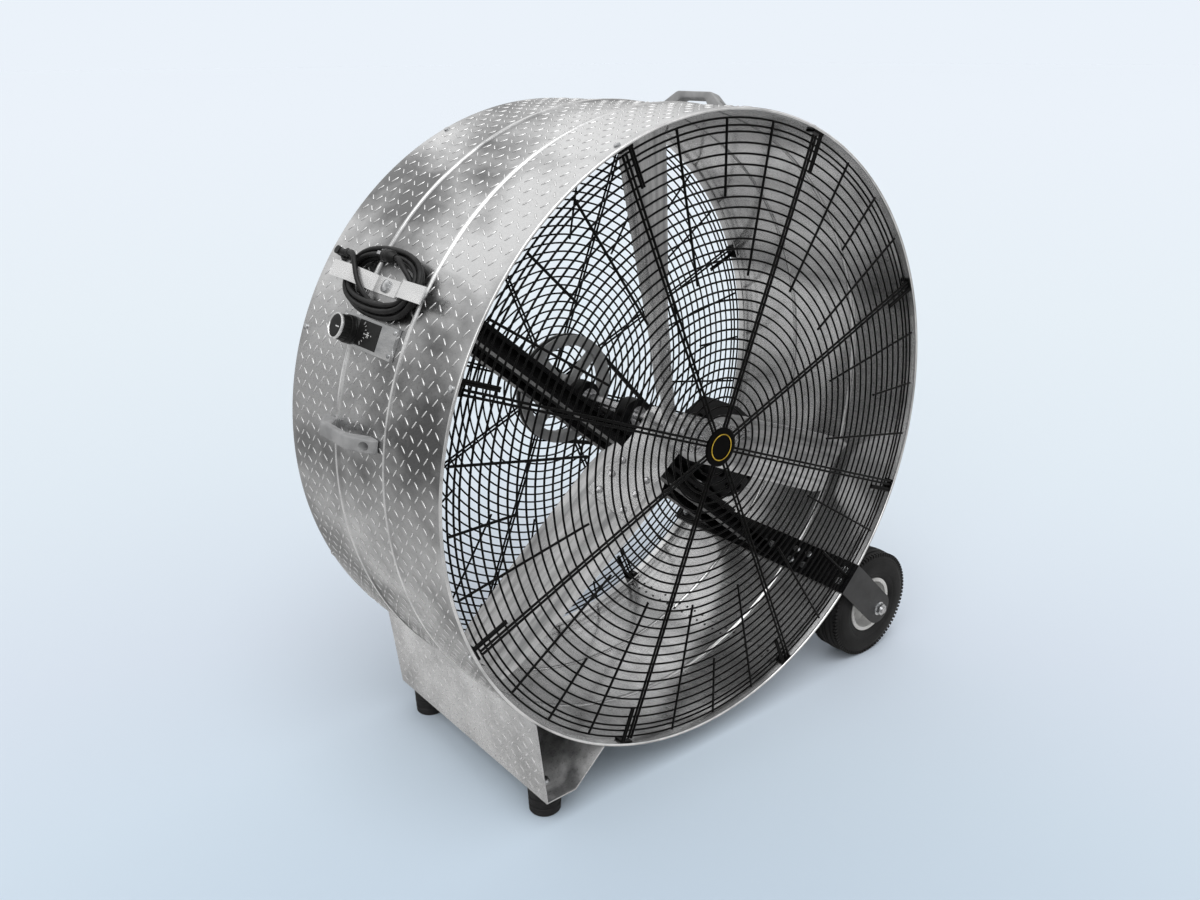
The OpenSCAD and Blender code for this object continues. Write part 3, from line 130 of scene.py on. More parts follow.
both = put(air, "ShaderNodeMixShader", {0: seen["Is Camera Ray"], 1: inside, 2: backdrop})
put(air, "ShaderNodeOutputWorld", {"Surface": both})
for lamp_name, strength, spread, turn in lamps:
    lamp = placed(lamp_name, bpy.data.lights.new(lamp_name, "SUN"))
    lamp.data.energy, lamp.data.angle = strength, math.radians(spread)
    lamp.rotation_euler = [math.radians(t) for t in turn]

# Floor: one wide sheet, deepest blue at a spot before the fan and paling to the backdrop's colour with
# the distance, so that no horizon shows. Metal sees it as a grey floor that darkens towards the distance.
floor_greys = ((0.00, 0.62), (0.22, 0.60), (0.40, 0.42), (1.00, 0.30))
floor_far, floor_reach, floor_level = 5.0, 120, 0.72
deep_spot = (-1.42, -1.65, 0)
pale_share, pale_fall, pale_near = 0.941, 1.899, 0.529


def shaded(name):
    """An empty material, its tree and its coordinates."""
    material = bpy.data.materials.new(name)
    material.use_nodes = True
    tree = material.node_tree
    tree.nodes.clear()
    return material, tree, put(tree, "ShaderNodeTexCoord").outputs


def reckon(tree, operation, *terms):
    """A sum on numbers or on other nodes' results."""
    return put(tree, "ShaderNodeMath", dict(enumerate(terms)), operation=operation)


def mixed(tree, share, *colours):
    """One colour going over into another, each a colour or a node's result."""
    one, other = [tint(c) if isinstance(c, (tuple, float)) else c for c in colours]
    return put(tree, "ShaderNodeMix", {"Factor": share, "A": one, "B": other},
               data_type="RGBA").outputs["Result"]


floor_mesh = bpy.data.meshes.new("studio_floor")
floor_mesh.from_pydata([(x * floor_reach, y * floor_reach, 0) for x, y in (
    (-1, -1), (1, -1), (1, 1), (-1, 1))], [], [(0, 1, 2, 3)])
floor_look, tree, place = shaded("studio_floor")
reach, away = [put(tree, "ShaderNodeVectorMath", {0: place["Object"], 1: spot},
                   operation="DISTANCE").outputs["Value"] for spot in ((0, 0, 0), deep_spot)]
paled = reckon(tree, "SUBTRACT", pale_share, reckon(tree, "DIVIDE", pale_fall,
                                                    reckon(tree, "ADD", away, pale_near)))
seen = put(tree, "ShaderNodeLightPath").outputs
grey = mixed(tree, seen["Is Glossy Ray"], floor_level,
             ramp(tree, stretched(tree, reach, 0, floor_far), floor_greys))
surface = put(tree, "ShaderNodeBsdfDiffuse", {"Color": mixed(tree, seen["Is Camera Ray"], grey,
                                                             ramp(tree, paled, backdrop_stops))})
put(tree, "ShaderNodeOutputMaterial", {"Surface": surface})
floor_mesh.materials.append(floor_look)
placed("studio_floor", floor_mesh)

# Base channel: tread plate folded under the left side of the barrel, its lozenges outward, smooth inside.
# It is riveted to the barrel, and stands on two rubber feet.
drum_r, depth = 0.635, 0.560
axis_x, axis_z = -0.0151574, 0.688843
front_y = -depth / 2
sheet_t = 0.003


def finish_of(name, dark, light, metallic, rough, cloud, grain, relief=0.0, ridge=0.0004,
              stretch=(1, 1, 1), wear=None, source="Object", spread=(0.35, 0.65), specular=0.5, foot=None):
    """A finish: clouds of two colours, fine grain in gloss and relief, thin worn marks and a painted shade at
    the foot.
    """
    material, tree, place = shaded(name)
    fit = put(tree, "ShaderNodeMapping", {"Vector": place[source], "Scale": stretch})
    clouds = put(tree, "ShaderNodeTexNoise", {"Vector": fit, "Scale": cloud, "Detail": 7,
                                              "Roughness": 0.55, "Distortion": 0.2})
    fine = put(tree, "ShaderNodeTexNoise", {"Vector": fit, "Scale": grain, "Detail": 3})
    colour = mixed(tree, stretched(tree, clouds, *spread), dark, light)
    speck = stretched(tree, fine, 0.3, 0.7, 0.93, 1.05)
    colour = put(tree, "ShaderNodeVectorMath", {0: colour, 3: speck}, operation="SCALE")
    gloss = stretched(tree, fine, 0.25, 0.75, *rough)
    if wear:
        marks = put(tree, "ShaderNodeTexNoise", {"Vector": fit, "Scale": cloud * 9, "Detail": 9,
                                                 "Roughness": 0.7})
        colour = mixed(tree, stretched(tree, marks, 0.62, 0.72), colour, wear)
    # The foot colour is painted shade, laid low on each lozenge by its rise.
    if foot:
        rise = put(tree, "ShaderNodeAttribute", attribute_name="rise").outputs["Fac"]
        colour = mixed(tree, stretched(tree, rise, 0.38, 0.52), foot, colour)
    body = put(tree, "ShaderNodeBsdfPrincipled", {"Base Color": colour, "Metallic": metallic,
                                                  "Roughness": gloss, "Specular IOR Level": specular})
    if relief:
        bump = put(tree, "ShaderNodeBump", {"Strength": relief, "Distance": ridge, "Height": fine})
        tree.links.new(bump.outputs[0], body.inputs["Normal"])
    put(tree, "ShaderNodeOutputMaterial", {"Surface": body})
    return material


def clad(mesh, material):
    """One finish for a whole mesh."""
    mesh.materials.clear()
    mesh.materials.append(material)
    mesh.polygons.foreach_set("material_index", [0] * len(mesh.polygons))


def dress(material, *names):
    """Gives carried-over model nodes their finish."""
    for name in names:
        clad(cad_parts[name].data, material)


def piece(name, mesh, material, body, slot, *nodes):
    """A finished mesh as a piece: its finish, the body that it rides on and what it stands for."""
    thing = placed(name, mesh)
    if material:
        clad(mesh, material)
    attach(thing, body)
    if nodes:
        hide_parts(*nodes)
    return thing


# The tread sheet's dark and light clouds are painted reflection: the mottled patches that the metal mirrors.
tread_sheet = finish_of("tread_sheet", (0.21, 0.211, 0.213), (0.84, 0.843, 0.845), 1.0, (0.24, 0.40), 4.6,
                        330, relief=0.18, stretch=(1, 0.6, 1), spread=(0.38, 0.60))
# The lozenge finish is paler than the sheet, partly as painted highlight, and lays painted shade at each
# lozenge's foot.
lozenge_lit_and_shaded = finish_of("lozenge_lit_and_shaded", (0.88, 0.882, 0.885), 1.0, 0.70, (0.16, 0.28), 40, 500,
                          spread=(0.38, 0.62), foot=(0.045, 0.045, 0.046))
base_sheet = finish_of("base_sheet", (0.55, 0.552, 0.555), (0.96, 0.962, 0.965), 0.90, (0.22, 0.38), 5.2,
                       330, relief=0.18, spread=(0.36, 0.60))
channel_inside = finish_of("channel_inside", (0.16, 0.162, 0.165), (0.62, 0.622, 0.625), 0.30, (0.24, 0.40),
                           11, 330, spread=(0.40, 0.60))
dress(base_sheet, "base_channel")
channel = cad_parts["base_channel"].data
channel.materials.append(channel_inside)
low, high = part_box("base_channel")
middle = (low + high) / 2
for face in channel.polygons:
    inward = Vector((middle.x - face.center.x, 0, middle.z - face.center.z))
    face.material_index = 1 if face.normal.dot(inward) > 0.01 else 0

lozenge_l, lozenge_w, lozenge_h = 0.0235, 0.0062, 0.0013
lozenge_pitch, lozenges_across = 0.0243, 22
lozenge_lean = (math.radians(-38), math.radians(52))
plate_margin, plate_sink = 0.004, 0.0001


def lozenge_blank():
    """One raised lozenge: a pointed oval with a short ridge, closed underneath."""
    share = ((1, 0), (0.55, 0.72), (0, 1), (-0.55, 0.72), (-1, 0), (-0.55, -0.72), (0, -1), (0.55, -0.72))
    points = [(x * lozenge_l / 2, y * lozenge_w / 2, -lozenge_h * 0.6) for x, y in share]
    points += [(lozenge_l * 0.30, 0, lozenge_h), (0, 0, lozenge_h * 1.1), (-lozenge_l * 0.30, 0, lozenge_h)]
    faces = [(0, 1, 8), (1, 2, 9, 8), (2, 3, 10, 9), (3, 4, 10), (4, 5, 10), (5, 6, 9, 10), (6, 7, 8, 9),
             (7, 0, 8), (7, 6, 5, 4, 3, 2, 1, 0)]
    mesh = bpy.data.meshes.new("lozenge_blank")
    mesh.from_pydata(points, [], faces)
    # Rise runs from 0 round the foot to 1 on the ridge; the finish lays its painted shade by it.
    mesh.attributes.new("rise", "FLOAT", "POINT").data.foreach_set("value", [0.0] * 8 + [1.0] * 3)
    return mesh


def gn_tree(name, **inputs):
    """A Geometry Nodes tree with named inputs, sorted by their kind, and one geometry output."""
    tree = bpy.data.node_groups.new(name, "GeometryNodeTree")
    tree.interface.new_socket(name="Geometry", in_out="OUTPUT", socket_type="NodeSocketGeometry")
    for kind, labels in {"Geometry": ["Geometry"], **inputs, "Material": ["Finish"]}.items():
        for label in labels:
            tree.interface.new_socket(name=label, in_out="INPUT", socket_type="NodeSocket" + kind)
    return tree, tree.nodes.new("NodeGroupInput").outputs


def close_tree(tree, given, geometry, smooth=True):
    """Ends a tree: real meshes, their shading and their finish."""
    real = put(tree, "GeometryNodeRealizeInstances", {"Geometry": geometry})
    even = put(tree, "GeometryNodeSetShadeSmooth", {"Geometry": real, "Shade Smooth": smooth})
    dressed = put(tree, "GeometryNodeSetMaterial", {"Geometry": even, "Material": given["Finish"]})
    put(tree, "NodeGroupOutput", {"Geometry": dressed})


def settled(thing, name):
    """The plain mesh that an object's modifiers make. The object itself goes."""
    bpy.context.view_layer.update()
    graph = bpy.context.evaluated_depsgraph_get()
    mesh = bpy.data.meshes.new_from_object(thing.evaluated_get(graph), depsgraph=graph)
    thing.modifiers.clear()
    bpy.data.objects.remove(thing)
    mesh.name = name
    return mesh


def grown(name, tree, finish, host=None, **sizes):
    """Runs a tree once, its inputs set by their identifiers, and returns the mesh that it makes."""
    carrier = placed(name + "_carrier", host or bpy.data.meshes.new(name + "_host"))
    maker = carrier.modifiers.new("maker", "NODES")
    maker.node_group = tree
    sizes["Finish"] = finish
    for item in tree.interface.items_tree:
        if item.in_out == "INPUT" and item.name in sizes:
            maker[item.identifier] = sizes[item.name]
    return settled(carrier, name)


def turned_about(tree, axis, angle):
    """A rotation about one axis."""
    return put(tree, "FunctionNodeEulerToRotation", {0: put(tree, "ShaderNodeCombineXYZ", {axis: angle})})


def lozenge_turns(tree, columns):
    """Turns of two kinds about each lozenge's own upright, one after the other along and across the field."""
    number = put(tree, "GeometryNodeInputIndex")
    row = reckon(tree, "FLOOR", reckon(tree, "DIVIDE", number, columns))
    odd = reckon(tree, "MULTIPLY", reckon(tree, "MODULO", columns, 2), row)
    total = reckon(tree, "SUBTRACT", reckon(tree, "ADD", number, row), odd)
    parity = reckon(tree, "ABSOLUTE", reckon(tree, "MODULO", total, 2))
    return stretched(tree, parity, 0, 1, *lozenge_lean)


plate_tree, given = gn_tree("plate_lozenges", Int=["Rows", "Columns"], Float=["Pitch", "Lean"],
                            Vector=["Centre"])
spans = [reckon(plate_tree, "MULTIPLY", reckon(plate_tree, "SUBTRACT", given[k], 1), given["Pitch"])
         for k in ("Rows", "Columns")]
field = put(plate_tree, "GeometryNodeMeshGrid", {"Size X": spans[0], "Size Y": spans[1],
                                                 "Vertices X": given["Rows"], "Vertices Y": given["Columns"]})
laid = put(plate_tree, "GeometryNodeInstanceOnPoints", {
    "Points": field, "Instance": given[0],
    "Rotation": turned_about(plate_tree, "Z", lozenge_turns(plate_tree, given["Columns"]))})
stood = put(plate_tree, "GeometryNodeTransform", {
    "Geometry": laid, "Translation": given["Centre"],
    "Rotation": put(plate_tree, "ShaderNodeCombineXYZ", {"Y": given["Lean"]})})
close_tree(plate_tree, given, stood)
for side_name, low, high, rows, outward in (
        ("base_left_lozenges", (-0.687, -0.985), (-0.722, -0.690), 7, 1),
        ("base_right_lozenges", (-0.583, -0.985), (-0.470, -0.884), 3, -1)):
    low, high = [Vector((x * drum_r, 0, z * drum_r)) for x, z in (low, high)]
    way = (high - low).normalized()
    out = Vector((-way.z, 0, way.x)) * outward
    middle = (Vector((axis_x, 0, axis_z)) + low + way * (lozenge_pitch * rows / 2 + plate_margin)
              + out * (sheet_t - plate_sink))
    mesh = grown(side_name, plate_tree, lozenge_lit_and_shaded, lozenge_blank(), Rows=rows, Columns=lozenges_across,
                 Pitch=lozenge_pitch, Centre=middle, Lean=math.atan2(out.x, out.z))
    piece(side_name, mesh, lozenge_lit_and_shaded, "frame", "tread_plate")

# Rubber feet: turned mouldings with two grip grooves and a washer seat, on a bolt through the channel.
# All the fan's bolts, nuts and screws are zinc-plated steel.
rubber = finish_of("foot_rubber", (0.006, 0.006, 0.0065), (0.018, 0.018, 0.019), 0.0, (0.55, 0.78), 40, 420,
                   relief=0.25, wear=0.035, specular=0.3)
zinc = finish_of("zinc_plate", (0.42, 0.43, 0.44), (0.85, 0.86, 0.87), 1.0, (0.18, 0.34), 60, 600)
foot_r, foot_h = 0.034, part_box("front_foot")[1].z
foot_outline = [(foot_r * share, h) for share, h in (
    (0, 0), (0.86, 0), (0.93, 0.0025), (0.955, 0.016), (0.90, 0.018), (0.90, 0.021), (0.965, 0.023),
    (0.975, 0.034), (0.92, 0.036), (0.92, 0.039), (0.985, 0.041), (1, foot_h - 0.004), (0.96, foot_h),
    (0, foot_h))]


def skin(bm, rings, wrap=False, capped=False):
    """Faces between neighbouring rings of points, and over the end rings where they are capped."""
    for one, two in zip(rings, rings[1:] + rings[:1] if wrap else rings[1:]):
        for k in range(len(one)):
            n = (k + 1) % len(one)
            bm.faces.new((one[k], two[k], two[n], one[n]))
    if capped:
        bm.faces.new(rings[0])
        bm.faces.new(rings[-1][::-1])


def mesh_from(bm, name, sharp=None):
    """The mesh of a bmesh, its faces outward, smooth but for edges sharper than an angle."""
    if sharp:
        bmesh.ops.recalc_face_normals(bm, faces=bm.faces)
    mesh = bpy.data.meshes.new(name)
    bm.to_mesh(mesh)
    bm.free()
    if sharp:
        mesh.shade_smooth()
        mesh.set_sharp_from_angle(angle=math.radians(sharp))
    return mesh


def lathe(name, outline, centre, segments=96, about="Y"):
    """Turns a closed outline of (radius, distance along) round an axis through centre."""
    bm = bmesh.new()
    rings = []
    for k in range(segments):
        a = 2 * math.pi * k / segments
        rings.append([bm.verts.new(Vector(centre) + Vector(
            (r * math.cos(a), d, r * math.sin(a)) if about == "Y" else (r * math.cos(a), r * math.sin(a), d)))
            for r, d in outline])
    skin(bm, rings, wrap=True)
    bmesh.ops.remove_doubles(bm, verts=bm.verts, dist=1e-6)
    bmesh.ops.dissolve_degenerate(bm, dist=1e-7, edges=bm.edges)
    return mesh_from(bm, name, sharp=38)


for end in ("front", "rear"):
    low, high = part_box(end + "_foot")
    centre = ((low.x + high.x) / 2, (low.y + high.y) / 2, 0)
    mesh = lathe(end + "_rubber_foot", foot_outline, centre, about="Z")
    piece(end + "_rubber_foot", mesh, rubber, "frame", "rubber", end + "_foot")
dress(zinc, "foot_bolts", "saddle_bolts", "axle_nuts", "rail_bolts", "bearing_bolts", "motor_bolts",
      "guard_screws", "handle_screws", "fitting_screws")

# Barrel: one rolled sheet of tread plate with two beads pressed into it and a hem folded inside each rim.
# The lozenges stand outward; the inner wall is smooth, and its bright streaked clouds are partly painted
# reflection.
wall_r = drum_r - sheet_t
bead_places, bead_rise = (0.182, 0.363), 0.004
swell_out, swell_in, bead_room = 0.0085, 0.0065, 0.0105
bead_highlight_w, lip_highlight_w = 0.0034, 0.0026
hem_w, hem_clear, barrel_segments, lozenges_round = 0.024, 0.002, 288, 164
# The inner sheet is lightened and streaked: partly painted reflection.
inner_sheet = finish_of("inner_sheet", (0.44, 0.442, 0.445), (0.98, 0.982, 0.985), 0.76, (0.12, 0.22), 3.6,
                        260, relief=0.06, stretch=(1, 0.22, 1), spread=(0.38, 0.56))
# The bead finish is painted highlight: a brighter band along each bead and on each rim lip.
bead_highlight = finish_of("bead_highlight", (0.66, 0.662, 0.665), 0.97, 0.84, (0.12, 0.22), 16, 90, relief=0.30,
                       ridge=0.0006, spread=(0.34, 0.60))


def bead_swell(y, half_w):
    """How far the sheet stands out at a distance from the front rim."""
    near = min(abs(y - b) for b in bead_places)
    return 0 if near >= half_w else bead_rise * (1 + math.cos(math.pi * near / half_w)) / 2


def fine_steps(first, last, coarse=0.028, close_by=0.0011, reach=0.010):
    """Distances from first to last, close together on the beads."""
    y, steps = first, []
    while y < last - 1e-6:
        steps.append(y)
        near = min(abs(y - b) for b in bead_places)
        ahead = min([b - reach - y for b in bead_places if b - reach > y + 1e-6] or [coarse])
        y += close_by if near < reach + 1e-6 else min(coarse, ahead)
    return steps + [last]


lip = [(wall_r + sheet_t * math.cos(math.pi * k / 8), sheet_t - sheet_t * math.sin(math.pi * k / 8))
       for k in range(1, 9)]
hem = [(wall_r - sheet_t, hem_w - 0.001), (wall_r - sheet_t / 2, hem_w), (wall_r - 0.0002, hem_w + 0.0006)]
barrel_outline = [(drum_r + bead_swell(y, swell_out), y)
                  for y in reversed(fine_steps(sheet_t, depth - sheet_t))] + lip + hem
barrel_outline += [(wall_r + bead_swell(y, swell_in), y)
                   for y in fine_steps(hem_w + hem_clear, depth - hem_w - hem_clear)]
barrel_outline += [(r, depth - y) for r, y in reversed(lip + hem)]
mesh = lathe("barrel", barrel_outline, (axis_x, front_y, axis_z), barrel_segments)
for finish in (tread_sheet, inner_sheet, bead_highlight):
    mesh.materials.append(finish)
for face in mesh.polygons:
    out = Vector((face.center.x - axis_x, 0, face.center.z - axis_z)).normalized()
    y = face.center.y - front_y
    # Faces close to a bead or a rim lip take the painted highlight.
    bright = (min(abs(y - b) for b in bead_places) < bead_highlight_w or y < lip_highlight_w
              or y > depth - lip_highlight_w)
    face.material_index = 2 if bright else 1 if face.normal.dot(out) < -0.2 else 0
piece("barrel", mesh, None, "frame", "tread_plate", "drum_shell")

wrap_tree, given = gn_tree("barrel_lozenges", Int=["Round", "Across", "Seed"], Vector=["Middle"],
                           Float=["Radius", "Pitch", "Front_Bead", "Rear_Bead", "Bead_Room"])
girth = reckon(wrap_tree, "MULTIPLY", given["Radius"], 2 * math.pi)
long_way = reckon(wrap_tree, "SUBTRACT", girth, reckon(wrap_tree, "DIVIDE", girth, given["Round"]))
short_way = reckon(wrap_tree, "MULTIPLY", reckon(wrap_tree, "SUBTRACT", given["Across"], 1), given["Pitch"])
field = put(wrap_tree, "GeometryNodeMeshGrid", {"Size X": long_way, "Size Y": short_way,
                                                "Vertices X": given["Round"], "Vertices Y": given["Across"]})
flat = put(wrap_tree, "ShaderNodeSeparateXYZ", {0: put(wrap_tree, "GeometryNodeInputPosition")}).outputs
angle = reckon(wrap_tree, "DIVIDE", flat["X"], given["Radius"])
outward = put(wrap_tree, "ShaderNodeCombineXYZ", {"X": reckon(wrap_tree, "COSINE", angle),
                                                  "Z": reckon(wrap_tree, "SINE", angle)})
level = put(wrap_tree, "ShaderNodeCombineXYZ", {"Y": flat["Y"]})
on_sheet = put(wrap_tree, "ShaderNodeVectorMath", {0: outward, 3: given["Radius"]}, operation="SCALE")
standing = put(wrap_tree, "ShaderNodeVectorMath", {0: on_sheet, 1: level}, operation="ADD")
centred = put(wrap_tree, "ShaderNodeVectorMath", {0: standing, 1: given["Middle"]}, operation="ADD")
off_beads = [reckon(wrap_tree, "ABSOLUTE", reckon(wrap_tree, "SUBTRACT", flat["Y"], given[bead]))
             for bead in ("Front_Bead", "Rear_Bead")]
clear = [reckon(wrap_tree, "GREATER_THAN", off, given["Bead_Room"]) for off in off_beads]
facts = put(wrap_tree, "GeometryNodeCaptureAttribute", {"Geometry": field})
for kind, label, fact in (("VECTOR", "Outward", outward),
                          ("FLOAT", "Turn", lozenge_turns(wrap_tree, given["Across"])),
                          ("FLOAT", "Clear", reckon(wrap_tree, "MULTIPLY", *clear))):
    facts.capture_items.new(kind, label)
    wrap_tree.links.new(fact.outputs[0], facts.inputs[label])
wrapped = put(wrap_tree, "GeometryNodeSetPosition", {"Geometry": facts, "Position": centred})
upright = put(wrap_tree, "FunctionNodeAlignRotationToVector", {"Vector": facts.outputs["Outward"]}, axis="Z",
              pivot_axis="Y")
wobble, size = [put(wrap_tree, "FunctionNodeRandomValue", {2: least, 3: most, "Seed": given["Seed"]},
                    data_type="FLOAT").outputs[1] for least, most in ((-0.05, 0.05), (0.90, 1.06))]
leaned = turned_about(wrap_tree, "Z", reckon(wrap_tree, "ADD", facts.outputs["Turn"], wobble))
faced = put(wrap_tree, "FunctionNodeRotateRotation", {0: upright, 1: leaned}, rotation_space="LOCAL")
laid = put(wrap_tree, "GeometryNodeInstanceOnPoints", {
    "Points": wrapped, "Selection": facts.outputs["Clear"], "Instance": given[0], "Rotation": faced,
    "Scale": size})
close_tree(wrap_tree, given, laid)
mesh = grown("barrel_lozenges", wrap_tree, lozenge_lit_and_shaded, lozenge_blank(), Round=lozenges_round,
             Across=lozenges_across, Seed=11, Middle=(axis_x, 0, axis_z), Radius=drum_r, Pitch=lozenge_pitch,
             Front_Bead=front_y + bead_places[0], Rear_Bead=front_y + bead_places[1], Bead_Room=bead_room)
piece("barrel_lozenges", mesh, lozenge_lit_and_shaded, "frame", "tread_plate")

# Lap seam of the barrel, low on the right, where the sheet's two ends meet: two rows of domed rivets.
# They go through both sheets, and are seen inside and outside.
seam_a, seam_row, seam_rivets, seam_first, seam_step, seam_head = -68, 0.9, 19, 0.036, 0.0271, 0.0034
seam_inner, seam_outer = wall_r + 0.0010, drum_r - 0.0008
rivet_tree, given = gn_tree("rivet_line", Int=["Count"], Vector=["Start", "Step"], Float=["Rivet"])
line = put(rivet_tree, "GeometryNodeMeshLine", {"Count": given["Count"], "Start Location": given["Start"],
                                                "Offset": given["Step"]})
head = put(rivet_tree, "GeometryNodeMeshUVSphere", {"Segments": 12, "Rings": 8, "Radius": given["Rivet"]})
close_tree(rivet_tree, given, put(rivet_tree, "GeometryNodeInstanceOnPoints", {"Points": line,
                                                                              "Instance": head}))


def joined(name, meshes):
    """Several meshes as one."""
    bm = bmesh.new()
    for m in meshes:
        bm.from_mesh(m)
    return mesh_from(bm, name)


def round_drum(degrees, r, y):
    """A point by its angle round the drum, its radius and its distance from the front rim."""
    a = math.radians(degrees)
    return Vector((axis_x + r * math.cos(a), front_y + y, axis_z + r * math.sin(a)))


# These rivets carry no rise, so the lozenge finish's painted foot shade covers them whole and they come out
# dark.
seam_rows = [grown("seam_rivets", rivet_tree, lozenge_lit_and_shaded, Count=seam_rivets, Step=(0, seam_step, 0),
                   Start=round_drum(seam_a + spread, r, seam_first), Rivet=seam_head)
             for spread in (-seam_row, seam_row) for r in (seam_inner, seam_outer)]
piece("seam_rivets", joined("seam_rivets", seam_rows), lozenge_lit_and_shaded, "frame", "tread_plate")

# Wheel saddle: a flat steel strap bolted to the inner wall, with an ear at each end for the axle.
# Its web inside the barrel takes the gloss black finish as painted shade; its ears outside the rims are dark
# grey.
saddle_grey = finish_of("saddle_grey", (0.018, 0.0185, 0.0195), (0.034, 0.0345, 0.036), 0.0, (0.34, 0.48),
                        24, 420, relief=0.12, wear=0.16)
black_paint = finish_of("black_paint", (0.0025, 0.0025, 0.0028), (0.007, 0.007, 0.0075), 0.0, (0.20, 0.34),
                        18, 380, relief=0.10, wear=(0.014, 0.014, 0.015), specular=0.16)
dress(saddle_grey, "wheel_saddle")
saddle_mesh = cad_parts["wheel_saddle"].data
saddle_mesh.materials.append(black_paint)
inside_rims = depth / 2 - 0.0005
# Faces between the rims get the black finish: painted shade.
for face in saddle_mesh.polygons:
    face.material_index = 1 if abs(face.center.y) < inside_rims else 0

# Axle and wheels: bright axle with spacers, pressed steel wheels in pale paint, pneumatic black tyres.
# Each tyre has grooves round its tread, ribs on its walls and a row of lugs on each shoulder.
bright_steel = finish_of("bright_steel", (0.40, 0.40, 0.41), (0.72, 0.72, 0.73), 1.0, (0.16, 0.28), 40, 480)
wheel_paint = finish_of("wheel_paint", (0.56, 0.56, 0.55), (0.74, 0.74, 0.73), 0.0, (0.28, 0.44), 22, 300,
                        relief=0.08, wear=(0.30, 0.29, 0.28))
tyre_rubber = finish_of("tyre_rubber", 0.0045, (0.014, 0.014, 0.0145), 0.0, (0.50, 0.72), 16, 520,
                        relief=0.30, wear=(0.034, 0.033, 0.032), specular=0.3)
dress(bright_steel, "wheel_axle", "axle_spacers")
dress(wheel_paint, "front_wheel", "rear_wheel")
tyre_r, tyre_crown, tread_half, groove_d, tyre_segments = 0.135, 0.0045, 0.031, 0.0030, 160
half_tread = ((0.0015, 0), (0.0025, 1), (0.0055, 1), (0.0065, 0), (0.0165, 0), (0.0175, 1), (0.0205, 1),
              (0.0215, 0), (0.0300, 0))
tread = [(tyre_r - tyre_crown * (d / tread_half) ** 2 - deep * groove_d, d)
         for d, deep in [(-d, deep) for d, deep in reversed(half_tread)] + list(half_tread)]
wall = [(0.1255, 0.0355), (0.1190, 0.0400), (0.1178, 0.0398), (0.1165, 0.0412), (0.1080, 0.0432),
        (0.0950, 0.0438), (0.0860, 0.0428), (0.0848, 0.0418), (0.0835, 0.0420), (0.0760, 0.0388),
        (0.0705, 0.0345), (0.0690, 0.0330), (0.0645, 0.0312)]
tyre_outline = [(r, -d) for r, d in reversed(wall)] + tread + wall
lug_count, lug_r, lug_side, lug_size = 84, 0.1272, 0.0322, (0.0125, 0.0085, 0.0058)

lug_tree, given = gn_tree("tyre_lugs", Int=["Count"], Float=["Radius", "Side", "Phase"],
                          Vector=["Centre", "Size"])
ring = put(lug_tree, "GeometryNodeMeshLine", {"Count": given["Count"], "Offset": (0, 0, 0)})
number = reckon(lug_tree, "ADD", put(lug_tree, "GeometryNodeInputIndex"), given["Phase"])
lug_a = reckon(lug_tree, "MULTIPLY", reckon(lug_tree, "DIVIDE", number, given["Count"]), 2 * math.pi)
lug_place = put(lug_tree, "ShaderNodeCombineXYZ", {"X": given["Radius"], "Y": given["Side"]})
lug = put(lug_tree, "GeometryNodeTransform", {"Translation": lug_place, "Geometry": put(
    lug_tree, "GeometryNodeMeshCube", {"Size": given["Size"]})})
laid = put(lug_tree, "GeometryNodeInstanceOnPoints", {"Points": ring, "Instance": lug,
                                                      "Rotation": turned_about(lug_tree, "Y", lug_a)})
moved = put(lug_tree, "GeometryNodeTransform", {"Geometry": laid, "Translation": given["Centre"]})
close_tree(lug_tree, given, moved, smooth=False)
for end in ("front", "rear"):
    low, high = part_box(end + "_tyre")
    centre, body = (low + high) / 2, end + "_road_wheel"
    mesh = lathe(end + "_tyre_cover", tyre_outline, centre, tyre_segments)
    piece(end + "_tyre_cover", mesh, tyre_rubber, body, "tyre", end + "_tyre")
    lugs = [grown("lugs", lug_tree, tyre_rubber, Count=lug_count, Radius=lug_r, Side=side * lug_side,
                  Phase=0.25 * (1 + side), Centre=centre, Size=lug_size) for side in (-1, 1)]
    piece(end + "_tyre_lugs", joined(end + "_tyre_lugs", lugs), tyre_rubber, body, "tyre")

# Cross rails and bearings: lipped steel channels in gloss black from wall to wall.
# Cast black pillow blocks are bolted on them, and the bright fan shaft turns in these.
cast_black = finish_of("cast_black", (0.003, 0.003, 0.0033), (0.010, 0.010, 0.011), 0.0, (0.34, 0.50), 30,
                       260, relief=0.45, ridge=0.0008, wear=0.018, specular=0.18)
dress(black_paint, "front_cross_rail", "rear_cross_rail", "motor_base")
dress(cast_black, "front_bearing", "rear_bearing")
dress(bright_steel, "fan_shaft", "bearing_collars", "motor_shaft")

# Blades: three sheets of mill aluminium, riveted to the hub arms, twisted and crowned towards the tips.
# The rolling marks run along each blade.
blade_tip, blade_root, arm_reach = 0.604, 0.096, 0.212
root_chord, tip_chord = 0.163, 0.145
root_pitch, tip_pitch = 36, 10
blade_crown, blade_t, blade_y, first_blade_a = 0.011, 0.0025, 0.152, 97.8
edge_shares = ((0, 0.80), (1 / 14, 0.95), (2 / 14, 1), (13 / 14, 1), (1, 0.88))
blade_metal = finish_of("blade_metal", (0.54, 0.545, 0.55), 1.0, 0.70, (0.20, 0.28), 5, 160,
                        stretch=(1, 14, 1), source="UV", spread=(0.36, 0.60))
hub_plate = finish_of("hub_plate", (0.60, 0.605, 0.61), (0.97, 0.972, 0.975), 0.82, (0.20, 0.32), 11, 300,
                      stretch=(1, 0.3, 1), spread=(0.34, 0.62))


def between(pairs, x):
    """Straight steps through (x, value) pairs."""
    for (x0, v0), (x1, v1) in zip(pairs, pairs[1:]):
        if x <= x1:
            return v0 + (v1 - v0) * (x - x0) / (x1 - x0)
    return pairs[-1][1]


